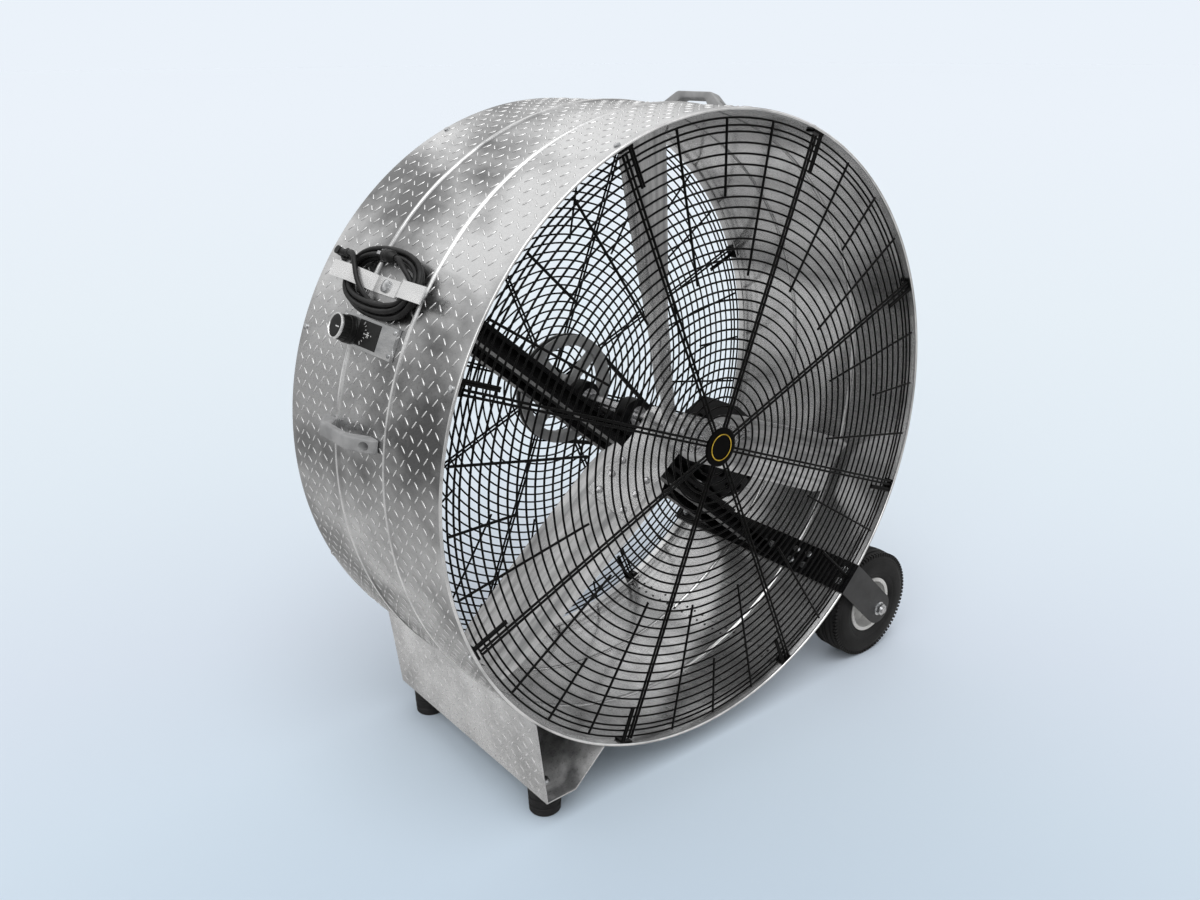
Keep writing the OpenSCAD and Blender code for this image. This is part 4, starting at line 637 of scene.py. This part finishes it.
def blade_sheet(name, angle, stations=56, steps=20):
    """One blade as a closed sheet, its long way from the root to the tip."""
    turn = math.radians(angle)
    radial, up = Vector((math.cos(turn), 0, math.sin(turn))), Vector((-math.sin(turn), 0, math.cos(turn)))
    hub = Vector((axis_x, front_y + blade_y, axis_z))
    loop = [(j, -1) for j in range(steps + 1)] + [(j, 1) for j in range(steps, -1, -1)]
    bm = bmesh.new()
    uv = bm.loops.layers.uv.new("along")
    rows, places = [], {}
    for i in range(stations + 1):
        s = i / stations
        reach = blade_root + (blade_tip - blade_root) * s
        twist = max(0, (reach - arm_reach) / (blade_tip - arm_reach))
        p = math.radians(root_pitch + (tip_pitch - root_pitch) * twist)
        chord = (root_chord + (tip_chord - root_chord) * s) * between(edge_shares, s)
        rows.append([])
        for j, face in loop:
            w = (j / steps - 0.5) * chord
            h = blade_crown * min(1, twist * 3) * (1 - (2 * j / steps - 1) ** 2) + face * blade_t / 2
            rows[-1].append(bm.verts.new(
                hub + radial * reach + Vector((0, 1, 0)) * (h * math.cos(p) - w * math.sin(p))
                + up * (w * math.cos(p) + h * math.sin(p))))
            places[rows[-1][-1]] = (reach, w)
    skin(bm, rows)
    for row in (rows[0], rows[-1]):
        for j in range(steps):
            bm.faces.new((row[j], row[j + 1], row[-2 - j], row[-1 - j]))
    for face in bm.faces:
        for corner in face.loops:
            corner[uv].uv = places[corner.vert]
    return mesh_from(bm, name, sharp=40)


for k, letter in enumerate("abc"):
    name = "blade_" + letter + "_sheet"
    piece(name, blade_sheet(name, first_blade_a + 120 * k), blade_metal, "fan_rotor", "blade_aluminium",
          "blade_" + letter)
dress(hub_plate, "fan_hub")
dress(bright_steel, "blade_rivets")

# Belt drive: two grey iron V-pulleys, the large one on the fan shaft, the small one on the motor's.
# The belt is black rubber with moulded cogs on its inner face.
pulley_grey = finish_of("pulley_grey", (0.40, 0.405, 0.41), (0.62, 0.625, 0.63), 0.35, (0.36, 0.54), 20, 260,
                        relief=0.35, ridge=0.0006, wear=0.62)
belt_rubber = finish_of("belt_rubber", 0.004, 0.013, 0.0, (0.50, 0.72), 60, 700, relief=0.25, wear=0.030,
                        specular=0.3)
dress(pulley_grey, "fan_pulley", "motor_pulley")
dress(belt_rubber, "drive_belt")

# Motor: black enamelled shell with cooling fins, end bells and a terminal box, bolted to its base plate.
# The fins stop where the box and the plate's cradle meet the shell.
motor_r, motor_u, motor_v = 0.080, 0.357, 0.0524
fin_count, fin_rise, fin_wide, fin_thick, fin_cover = 56, 0.0030, 0.0075, 0.0024, 0.96
box_half, cradle_low = 0.052, -0.058
rail_fall = math.radians(40)
dress(cast_black, "motor_shell", "motor_end_bells", "motor_box")


def rail_point(u, y, v):
    """A point by its reach along the rails, its distance from the front rim and its height over the shaft."""
    return Vector((axis_x + u * math.cos(rail_fall) + v * math.sin(rail_fall), front_y + y,
                   axis_z - u * math.sin(rail_fall) + v * math.cos(rail_fall)))


shell_low, shell_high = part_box("motor_shell")
motor_middle = rail_point(motor_u, 0, motor_v)
motor_middle.y = (shell_low.y + shell_high.y) / 2
fins = grown("motor_fins", lug_tree, cast_black, Count=fin_count, Radius=motor_r + fin_rise, Side=0.0,
             Phase=0.0, Centre=motor_middle,
             Size=(fin_wide, (shell_high.y - shell_low.y) * fin_cover, fin_thick))
bm = bmesh.new()
bm.from_mesh(fins)
corners = list(bm.verts)
rail_way, rail_up = [rail_point(u, 0, v) - rail_point(0, 0, 0) for u, v in ((1, 0), (0, 1))]
for first in range(0, len(corners), 8):
    fin = corners[first:first + 8]
    off = [(abs((v.co - motor_middle).dot(rail_way)), (v.co - motor_middle).dot(rail_up)) for v in fin]
    if any(along < box_half and up > 0 or up < cradle_low for along, up in off):
        bmesh.ops.delete(bm, geom=fin, context="VERTS")
bm.to_mesh(fins)
bm.free()
piece("motor_fins", fins, cast_black, "frame", "cast_black")

# Guards: black enamelled ring wires welded to paired radial spokes, with short wires between the pairs.
# Each guard is screwed to its rim by eight clips, and the rear one has a plate at its middle.
guard_black = finish_of("guard_black", 0.0012, 0.004, 0.0, (0.26, 0.40), 30, 500, wear=0.009, specular=0.10)
dress(guard_black, "front_guard_clips", "rear_guard_clips", "rear_guard_plate")
ring_wire, spoke_wire, guard_inset = 0.0040, 0.0050, 0.009
hoop_count, even_hoops, first_hoop, hoop_pitch, rim_hoop, rim_pitch = 31, 29, 0.061, 0.019, 0.604, 0.013
hoop_points, spoke_count, clip_a = 144, 8, -math.radians(23.5)
spoke_rows = ((0, 0.034, 0.619, 0.004), (0, 0.034, 0.619, -0.004), (0.25, 0.335, 0.617, 0.0),
              (0.75, 0.335, 0.617, 0.0), (0.5, 0.482, 0.617, 0.0))


def close_wires(tree, given, curves, sides, capped, turn=(0, 0, 0)):
    """Ends a tree of wires: its lines drawn out as round wire and set about their centre."""
    lines = put(tree, "GeometryNodeRealizeInstances", {"Geometry": curves})
    sized = put(tree, "GeometryNodeSetCurveRadius", {0: lines, "Radius": 1})
    section = put(tree, "GeometryNodeCurvePrimitiveCircle", {"Resolution": sides, "Radius": given["Wire"]})
    wires = put(tree, "GeometryNodeCurveToMesh", {"Curve": sized, "Profile Curve": section,
                                                  "Fill Caps": capped})
    stood = put(tree, "GeometryNodeTransform", {"Geometry": wires, "Rotation": turn,
                                                "Translation": given["Centre"]})
    close_tree(tree, given, stood)


hoop_tree, given = gn_tree("guard_hoops", Int=["Count", "Even_Hoops"], Vector=["Centre"],
                           Float=["First", "Pitch", "Rim_First", "Rim_Pitch", "Wire"])
number = put(hoop_tree, "GeometryNodeInputIndex")
line = put(hoop_tree, "GeometryNodeMeshLine", {"Count": given["Count"], "Offset": (0, 0, 0)})
even = reckon(hoop_tree, "MULTIPLY_ADD", number, given["Pitch"], given["First"])
past = reckon(hoop_tree, "SUBTRACT", number, given["Even_Hoops"])
rim = reckon(hoop_tree, "MULTIPLY_ADD", past, given["Rim_Pitch"], given["Rim_First"])
hoop_r = put(hoop_tree, "ShaderNodeMix", {0: reckon(hoop_tree, "GREATER_THAN", past, -0.5), 2: even, 3: rim},
             data_type="FLOAT")
hoop = put(hoop_tree, "GeometryNodeCurvePrimitiveCircle", {"Resolution": hoop_points, "Radius": 1})
close_wires(hoop_tree, given, put(hoop_tree, "GeometryNodeInstanceOnPoints", {
    "Points": line, "Instance": hoop, "Scale": hoop_r}), 8, False, (math.pi / 2, 0, 0))

spoke_tree, given = gn_tree("guard_spokes", Int=["Count"], Vector=["Centre"],
                            Float=["Phase", "Inner", "Outer", "Side", "Wire"])
line = put(spoke_tree, "GeometryNodeMeshLine", {"Count": given["Count"], "Offset": (0, 0, 0)})
share = reckon(spoke_tree, "DIVIDE", put(spoke_tree, "GeometryNodeInputIndex"), given["Count"])
spoke_a = reckon(spoke_tree, "MULTIPLY_ADD", share, -2 * math.pi, given["Phase"])
near_end, far_end = [put(spoke_tree, "ShaderNodeCombineXYZ", {"X": given[reach], "Z": given["Side"]})
                     for reach in ("Inner", "Outer")]
wire_line = put(spoke_tree, "GeometryNodeCurvePrimitiveLine", {"Start": near_end, "End": far_end})
close_wires(spoke_tree, given, put(spoke_tree, "GeometryNodeInstanceOnPoints", {
    "Points": line, "Instance": wire_line, "Rotation": turned_about(spoke_tree, "Y", spoke_a)}), 10, True)
for end, hoop_y, side in (("front", guard_inset, -1), ("rear", depth - guard_inset, 1)):
    hoops = grown(end + "_hoops", hoop_tree, guard_black, Count=hoop_count, Even_Hoops=even_hoops,
                  First=first_hoop, Pitch=hoop_pitch, Rim_First=rim_hoop, Rim_Pitch=rim_pitch,
                  Wire=ring_wire / 2, Centre=(axis_x, front_y + hoop_y, axis_z))
    spoke_y = front_y + hoop_y + side * (ring_wire + spoke_wire) / 2
    spokes = [grown("spokes", spoke_tree, guard_black, Count=spoke_count, Inner=inner, Outer=outer,
                    Phase=clip_a - turn_on * math.pi / 4, Side=beside, Wire=spoke_wire / 2,
                    Centre=(axis_x, spoke_y, axis_z)) for turn_on, inner, outer, beside in spoke_rows]
    piece(end + "_guard_hoops", hoops, guard_black, "frame", "guard_wire", end + "_guard_rings")
    piece(end + "_guard_wires", joined(end + "_guard_wires", spokes), guard_black, "frame", "guard_wire",
          end + "_guard_spokes")

# Badge at the middle of the front guard: a black moulded disc with a thin yellow ring.
# The ring is let into the disc's face.
badge_black = finish_of("badge_black", 0.0006, 0.002, 0.0, (0.30, 0.42), 50, 700, specular=0.06)
badge_yellow = finish_of("badge_yellow", (0.30, 0.19, 0.01), (0.80, 0.56, 0.06), 0.0, (0.34, 0.46), 60, 900,
                         specular=0.2)
dress(badge_black, "hub_badge")
badge_outline = [(0.0255, -0.0004), (0.0273, -0.0004), (0.0275, 0.0012), (0.0253, 0.0012)]
mesh = lathe("badge_ring", badge_outline, (axis_x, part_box("hub_badge")[0].y, axis_z))
piece("badge_ring", mesh, badge_yellow, "frame", "black_plastic")

# Grip handles: grey moulded bows screwed to the barrel at both feet, one at the side and one on top.
# Each foot has a recess for its screw.
grip_grey = finish_of("grip_grey", (0.25, 0.252, 0.256), (0.36, 0.362, 0.366), 0.0, (0.42, 0.60), 30, 900,
                      relief=0.30, wear=0.50)
grip_mid, grip_l, grip_w, grip_h, grip_t, grip_pad = 0.298, 0.190, 0.026, 0.042, 0.015, 0.030
grip_corner, grip_soft = 0.006, 0.0052
seat, screw_seat = 0.0003, 0.009
recess_outline = [(0, 0), (0.0078, 0), (0.0084, 0.05), (0, 0.05)]
on_its_end = Matrix.Rotation(math.pi / 2, 4, "Y")


def stood_on_drum(angle, y):
    """Local x outward from the drum, y to the rear and z round the drum, from a point on its axis."""
    return Matrix.Translation((axis_x, front_y + y, axis_z)) @ Matrix.Rotation(-math.radians(angle), 4, "Y")


def rounded_path(points, radius, steps=5):
    """A closed outline with its corners rounded."""
    made = []
    for i, p in enumerate(points):
        before, here, after = Vector(points[i - 1]), Vector(p), Vector(points[(i + 1) % len(points)])
        into, out = (before - here), (after - here)
        cutting = min(radius, into.length * 0.45, out.length * 0.45)
        start, end = here + into.normalized() * cutting, here + out.normalized() * cutting
        for k in range(steps + 1):
            t = k / steps
            made.append((start * (1 - t) + here * t) * (1 - t) + (here * (1 - t) + end * t) * t)
    return made


def grip_mesh(name, angle):
    """One bow with softened edges and bored recesses, stood on the drum."""
    half = grip_l / 2
    path = rounded_path([
        (0, -half), (grip_t * 0.8, -half), (grip_h, -half + grip_pad * 1.5), (grip_h, half - grip_pad * 1.5),
        (grip_t * 0.8, half), (0, half), (0, half - grip_pad), (grip_h - grip_t, half - grip_pad * 2),
        (grip_h - grip_t, -half + grip_pad * 2), (0, -half + grip_pad)], grip_corner)
    bm = bmesh.new()
    skin(bm, [[bm.verts.new((drum_r + seat + p.x, p.y, z)) for p in path] for z in (-grip_w / 2, grip_w / 2)],
         capped=True)
    bmesh.ops.recalc_face_normals(bm, faces=bm.faces)
    shape = placed(name + "_shape", mesh_from(bm, name))
    soften = shape.modifiers.new("soften", "BEVEL")
    soften.width, soften.segments, soften.limit_method = grip_soft, 4, "ANGLE"
    soften.angle_limit = math.radians(50)
    cutters = []
    for s in (-1, 1):
        recess = lathe("recess", recess_outline, (0, 0, 0), 40, about="Z")
        recess.transform(Matrix.Translation((drum_r + screw_seat, s * (half - grip_pad / 2), 0)) @ on_its_end)
        cutters.append(placed("recess", recess))
        bore = shape.modifiers.new("bore", "BOOLEAN")
        bore.object, bore.operation, bore.solver = cutters[-1], "DIFFERENCE", "EXACT"
    mesh = settled(shape, name)
    for cutter in cutters:
        bpy.data.objects.remove(cutter)
    mesh.transform(stood_on_drum(angle, grip_mid))
    mesh.shade_smooth()
    mesh.set_sharp_from_angle(angle=math.radians(35))
    return mesh


for name, angle in (("side", 171.8), ("top", 72.8)):
    piece(name + "_grip", grip_mesh(name + "_grip", angle), grip_grey, "frame", "grey_plastic",
          name + "_handle")

# Switch: polished plate with a black label of plain marks, and a fluted black knob with a bright rim that is
# partly painted highlight.
# The switch itself sits behind the plate, inside the barrel.
polished = finish_of("polished_plate", (0.52, 0.53, 0.54), 0.88, 1.0, (0.14, 0.26), 26, 420,
                     stretch=(1, 0.25, 1), wear=0.92)
black_moulding = finish_of("black_moulding", 0.003, 0.009, 0.0, (0.34, 0.48), 40, 900, relief=0.12,
                           wear=0.022, specular=0.3)
mark_white = finish_of("mark_white", 0.55, 0.72, 0.0, (0.45, 0.6), 200, 900)
cleat_plate = finish_of("cleat_plate", (0.82, 0.822, 0.825), 0.97, 0.7, (0.20, 0.32), 26, 1500,
                        stretch=(1, 0.25, 1))
dress(polished, "switch_plate")
dress(cleat_plate, "cord_cleat")
dress(black_moulding, "switch_label", "switch_body", "cord_gland")
plate_a, plate_front, plate_l, plate_rise = 155.8, 0.302, 0.098, 0.007
knob_a, knob_r, knob_h, knob_margin = 156.0, 0.026, 0.030, 0.010
knob_around, knob_flutes, flute_deep, fluted = 144, 24, 0.022, (0.0088, 0.0290)
knob_levels = ((0.0003, 1.0), (0.0010, 1.0), (0.0070, 1.0), (0.0086, 0.985), (0.0093, 0.925), (0.0190, 0.905),
               (0.0262, 0.89), (0.0284, 0.86), (0.0296, 0.79), (0.0300, 0.70), (0.0297, 0.45), (0.0295, 0.02))
rim_levels = ((0.86, -0.0042), (0.93, -0.0044), (0.94, -0.0022), (0.905, 0.0001), (0.85, 0.0006),
              (0.80, -0.0008))
plate_top = drum_r + seat + plate_rise
knob_at = plate_front + plate_l - knob_r - knob_margin
knob_stand = stood_on_drum(knob_a, knob_at) @ Matrix.Translation((plate_top + seat, 0, 0))
bm = bmesh.new()
rings = []
for h, share in knob_levels:
    rings.append([])
    for k in range(knob_around):
        a = 2 * math.pi * k / knob_around
        flute = flute_deep * max(0, math.cos(knob_flutes * a)) ** 2 if fluted[0] < h < fluted[1] else 0
        r = knob_r * (share - flute)
        rings[-1].append(bm.verts.new((h, r * math.cos(a), r * math.sin(a))))
skin(bm, rings, capped=True)
knob_mesh = mesh_from(bm, "knob_cap", sharp=42)
knob_mesh.transform(knob_stand)
piece("knob_cap", knob_mesh, black_moulding, "knob", "black_plastic", "switch_knob")
# The bright rim is partly a real rim and partly painted highlight, for the light ring round the knob's outer
# edge.
rim = lathe("knob_highlight_rim", [(knob_r * share, knob_h + lift) for share, lift in rim_levels], (0, 0, 0), about="Z")
rim.transform(knob_stand @ on_its_end)
piece("knob_highlight_rim", rim, cleat_plate, "knob", "polished_plate")


def small_bar(name, size, place, matrix, soften=0.0):
    """A small bar with its edges taken off, placed by a matrix."""
    bm = bmesh.new()
    bmesh.ops.create_cube(bm, size=1.0)
    bmesh.ops.scale(bm, vec=size, verts=bm.verts)
    if soften:
        bmesh.ops.bevel(bm, geom=bm.edges[:], offset=soften, segments=2, affect="EDGES", profile=0.6)
    bmesh.ops.translate(bm, vec=place, verts=bm.verts)
    mesh = mesh_from(bm, name)
    mesh.transform(matrix)
    return mesh


pointer_size, pointer_at, pointer_soft = (0.0008, 0.0125, 0.0022), (knob_h - 0.0001, -0.0095, 0), 0.0003
pointer = small_bar("knob_pointer", pointer_size, pointer_at, knob_stand, pointer_soft)
piece("knob_pointer", pointer, mark_white, "knob", "black_plastic")
label_gap, label_half, mark_t, mark_lift = 0.003, 0.038, 0.0003, 0.00065
tick_count, tick_step, tick_r, tick_back = 7, 20, 0.021, 0.030
tick_w, tick_l, long_tick_l = 0.0011, 0.004, 0.0065
spoke_l, spoke_w, dot_w, dot_off = 0.012, 0.0013, 0.0022, 0.0125
label_middle = knob_at - knob_r - label_gap - label_half
label_stand = stood_on_drum(plate_a, label_middle)
mark_at = (plate_top + mark_lift, 0, 0)
marks = []
for k in range(tick_count):
    a = math.radians(tick_step * (k - (tick_count - 1) / 2))
    dial = stood_on_drum(plate_a, label_middle + tick_back) @ Matrix.Translation(
        (0, -tick_r * math.cos(a), tick_r * math.sin(a))) @ Matrix.Rotation(-a, 4, "X")
    marks.append(small_bar("tick", (mark_t, tick_l if k % 3 else long_tick_l, tick_w), mark_at, dial))
marks += [small_bar("spoke", (mark_t, spoke_l, spoke_w), mark_at,
                    label_stand @ Matrix.Rotation(math.radians(turn), 4, "X")) for turn in (0, 60, 120)]
marks += [small_bar("dot", (mark_t, dot_w, dot_w), (mark_at[0], dot_off * side, 0), label_stand)
          for side in (-1, 1)]
piece("label_marks", joined("label_marks", marks), mark_white, "frame", "black_plastic")

# Power cord: black rubber, one swept line of 2.61 m from the elbow gland over the cleat.
# It is wound round the cleat in two layers and ends in its plug. Its points are in millimetres off the
# cleat's middle: height over the drum, distance to the rear and distance round.
cord_rubber = finish_of("cord_rubber", 0.003, (0.012, 0.012, 0.0125), 0.0, (0.38, 0.56), 70, 1100,
                        relief=0.15, wear=0.030, specular=0.35)
cord_d, cord_length = 0.010, 2.61
cleat_a, cleat_y, gland_a, gland_y = 147.6, 0.304, 144.5, 0.494
gland_q = math.radians(gland_a - cleat_a) * drum_r * 1000
run_marks = ((16, 170, gland_q), (16, 160, gland_q), (19.5, 149, -35), (26, 132, -35.5), (31, 115, -34),
             (33, 101, -28.5), (32.5, 89, -19.5), (30, 79.5, -9), (26.5, 71.5, 1.5), (22, 63.5, 11),
             (17.5, 54.5, 19), (13.5, 44, 25.5), (10.8, 32.5, 30.5))
tail_marks = ((22.5, -95.3, -19.8), (28.5, -87.5, -26.5), (34, -76, -33.5), (36.5, -65, -39.5),
              (36.5, -54, -44), (36.5, -46, -44))
coil_first, coil_last, coil_loops, loop_rings = 90, 195, 4, 24
coil_side, coil_end, coil_up, coil_low = 0.062, 0.038, 0.004, 0.0093
coil_step, coil_lift = cord_d * 1.12, cord_d * 1.06


def on_drum(h, s, q):
    """A point by its height over the drum, its distance behind the cleat's middle and its distance round."""
    return round_drum(cleat_a + math.degrees(q / drum_r), drum_r + h, cleat_y + s)


def ease(x):
    """A soft step from 0 to 1."""
    x = min(1, max(0, x))
    return x * x * (3 - 2 * x)


def spline_through(points, n):
    """A smooth line through given points."""
    made = []
    for i in range(len(points) - 1):
        a, b, c = points[max(i - 1, 0)], points[i], points[i + 1]
        d = points[min(i + 2, len(points) - 1)]
        for k in range(n):
            t = k / n
            made.append(0.5 * (2 * b + (c - a) * t + (2 * a - 5 * b + 4 * c - d) * t * t
                               + (3 * b - a - 3 * c + d) * t ** 3))
    return made + [points[-1]]


coil_turns = coil_loops + (coil_last - coil_first) / 360
coil_rings = math.ceil(coil_turns * loop_rings)
coil = []
for i in range(coil_rings + 1):
    t = i / coil_rings * coil_turns
    w = math.radians(coil_first + t * 360)
    b = coil_end + coil_step * min(t, coil_turns - t)
    rise = coil_lift * ease((t - coil_turns / 2 + 0.25) * 2)
    coil.append(on_drum(coil_low + rise, coil_side * math.sin(math.pi / 2 * math.cos(w)) + b * math.cos(w),
                        b * math.sin(w) - coil_up))
coil_in, coil_out = (coil[1] - coil[0]).normalized(), (coil[-1] - coil[-2]).normalized()
run, tail = [[on_drum(h / 1000, s / 1000, q / 1000) for h, s, q in points]
             for points in (run_marks, tail_marks)]
run_in, plug_at = coil[0] - cord_d * coil_in, tail[-1]
route = spline_through(run + [run_in - 1.1 * cord_d * coil_in], 2) + [run_in] + coil
route += spline_through([coil[-1] + 0.2 * cord_d * coil_out] + tail[:-1], 2) + [plug_at]
fine_route = spline_through(route, 2)
line = bpy.data.curves.new("power_cord", "CURVE")
line.dimensions = "3D"
line.bevel_depth, line.bevel_resolution, line.use_fill_caps = cord_d / 2, 3, True
strand = line.splines.new("POLY")
strand.points.add(len(fine_route) - 1)
for spot, p in zip(strand.points, fine_route):
    spot.co = (*p, 1)
strand.use_smooth = True
line.materials.append(cord_rubber)
cord = piece("power_cord", line, None, "frame", "cord_rubber", "cord_run", "cord_coil", "cord_tail")

relief_l, relief_steps, relief_r, relief_taper, relief_rib = 0.028, 28, 0.0067, 0.0011, 0.0006


def sleeve(name, path, radii, sides=24):
    """A closed sleeve along a path, with its own radius at each point."""
    bm = bmesh.new()
    rings = []
    up = Vector((math.cos(math.radians(cleat_a)), 0, math.sin(math.radians(cleat_a))))
    for i, (p, r) in enumerate(zip(path, radii)):
        way = (path[min(i + 1, len(path) - 1)] - path[max(i - 1, 0)]).normalized()
        a = way.cross(up).normalized()
        b = a.cross(way)
        rings.append([bm.verts.new(p + r * (math.cos(2 * math.pi * k / sides) * a
                                            + math.sin(2 * math.pi * k / sides) * b)) for k in range(sides)])
    skin(bm, rings, capped=True)
    return mesh_from(bm, name, sharp=40)


def walk(points, length, steps):
    """Points at even steps along the first stretch of a line."""
    made, done, i = [], 0.0, 0
    for k in range(steps + 1):
        want = length * k / steps
        while i < len(points) - 2 and done + (points[i + 1] - points[i]).length < want:
            done += (points[i + 1] - points[i]).length
            i += 1
        made.append(points[i].lerp(points[i + 1], (want - done) / (points[i + 1] - points[i]).length))
    return made


relief_radii = [relief_r - relief_taper * k / relief_steps for k in range(relief_steps + 1)]
for k in range(3, relief_steps - 2):
    relief_radii[k] += relief_rib if k % 4 < 2 else 0
relief = sleeve("cord_relief", walk(fine_route, relief_l, relief_steps), relief_radii)
piece("cord_relief", relief, cord_rubber, "frame", "cord_rubber")

# Plug: moulded black body with grip ribs round its neck, lying on the coil.
# It has two flat bright blades and a round earth pin.
neck_l, neck_r, neck_spread, neck_rib, neck_ribs = 0.012, 0.0062, 0.0035, 0.0007, 9
body_l, plug_r, plug_groove, plug_soft = 0.026, 0.0115, 0.0009, 0.0015
plug_end = neck_l + body_l
plug_stand = (Matrix.Translation(plug_at)
              @ Matrix.Rotation(-math.radians(cleat_a) - tail_marks[-1][2] / 1000 / drum_r, 4, "Y"))
plug_outline = [(0, 0)] + [(neck_r + neck_spread * k / neck_ribs + neck_rib * (k % 2),
                            seat + neck_l * k / neck_ribs) for k in range(neck_ribs)]
plug_outline += [(0.0106, neck_l), (plug_r, neck_l + 0.002), (plug_r, neck_l + 0.012),
                 (plug_r - plug_groove, neck_l + 0.013), (plug_r - plug_groove, neck_l + 0.015),
                 (plug_r, neck_l + 0.016), (plug_r, plug_end - plug_soft), (plug_r - plug_soft, plug_end),
                 (0, plug_end)]
pin_size, pin_off, pin_out, pin_soft, earth_off = (0.0015, 0.018, 0.0063), 0.00635, 0.0088, 0.0004, -0.0072
earth_outline = [(0, 0), (0.0024, 0), (0.0024, 0.0165), (0.0014, 0.0180), (0, 0.0180)]
plug_mesh = lathe("cord_plug_body", plug_outline, (0, 0, 0), 64)
plug_mesh.transform(plug_stand)
plug = piece("cord_plug_body", plug_mesh, black_moulding, "frame", "black_plastic", "cord_plug")
pins = [small_bar("pin", pin_size, (s * pin_off, plug_end + pin_out, 0), plug_stand, pin_soft)
        for s in (-1, 1)]
pins.append(lathe("earth", earth_outline, (0, 0, 0), 24))
pins[-1].transform(plug_stand @ Matrix.Translation((0, plug_end - 0.0002, earth_off)))
plug_pins = piece("cord_plug_pins", joined("cord_plug_pins", pins), bright_steel, "frame", "bright_steel")

# Inner leads: two black insulated wires inside the barrel, each leaving its fitting straight.
# One goes from the gland to the switch, the other from the switch along the rear rail to the motor's box.
lead_r, lead_out, lead_y, lead_v = 0.004, 0.008, 0.4127, -0.0555
switch_inner, gland_inner = 0.59732, wall_r - 0.012
box_u, box_v, box_lead_y = 0.309, 0.1264, lead_y - 0.040
motor_route = [round_drum(knob_a, switch_inner - seat - k * lead_out, knob_at) for k in range(3)]
motor_route += [rail_point(-0.508, lead_y - 0.022, lead_v + 0.006)]
motor_route += [rail_point(u, lead_y, lead_v) for u in (-0.445, -0.286, -0.127, 0, 0.143)]
motor_route += [rail_point(box_u - 0.058, lead_y - 0.010, lead_v + 0.018),
                rail_point(box_u - 0.048, lead_y - 0.030, 0.021),
                rail_point(box_u - 0.044, box_lead_y, box_v - 0.028)]
motor_route += [rail_point(box_u - seat - k * lead_out, box_lead_y, box_v) for k in (2, 1, 0)]
supply_route = [round_drum(gland_a, gland_inner - seat - k * lead_out, gland_y) for k in range(3)]
supply_route += [round_drum(gland_a + 3.5, wall_r - 0.044, gland_y - 0.014),
                 round_drum(gland_a + 7.5, wall_r - 0.038, gland_y - 0.044),
                 round_drum(knob_a - 1, wall_r - 0.028, knob_at + 0.056)]
supply_route += [round_drum(knob_a, switch_inner + 0.016, knob_at + 0.022 + seat + k * lead_out)
                 for k in (2, 1, 0)]
leads = []
for way in (motor_route, supply_route):
    path = spline_through(way, 8)
    leads.append(sleeve("lead", path, [lead_r] * len(path), 12))
piece("inner_wiring", joined("inner_wiring", leads), cord_rubber, "frame", "cord_rubber", "inner_leads")
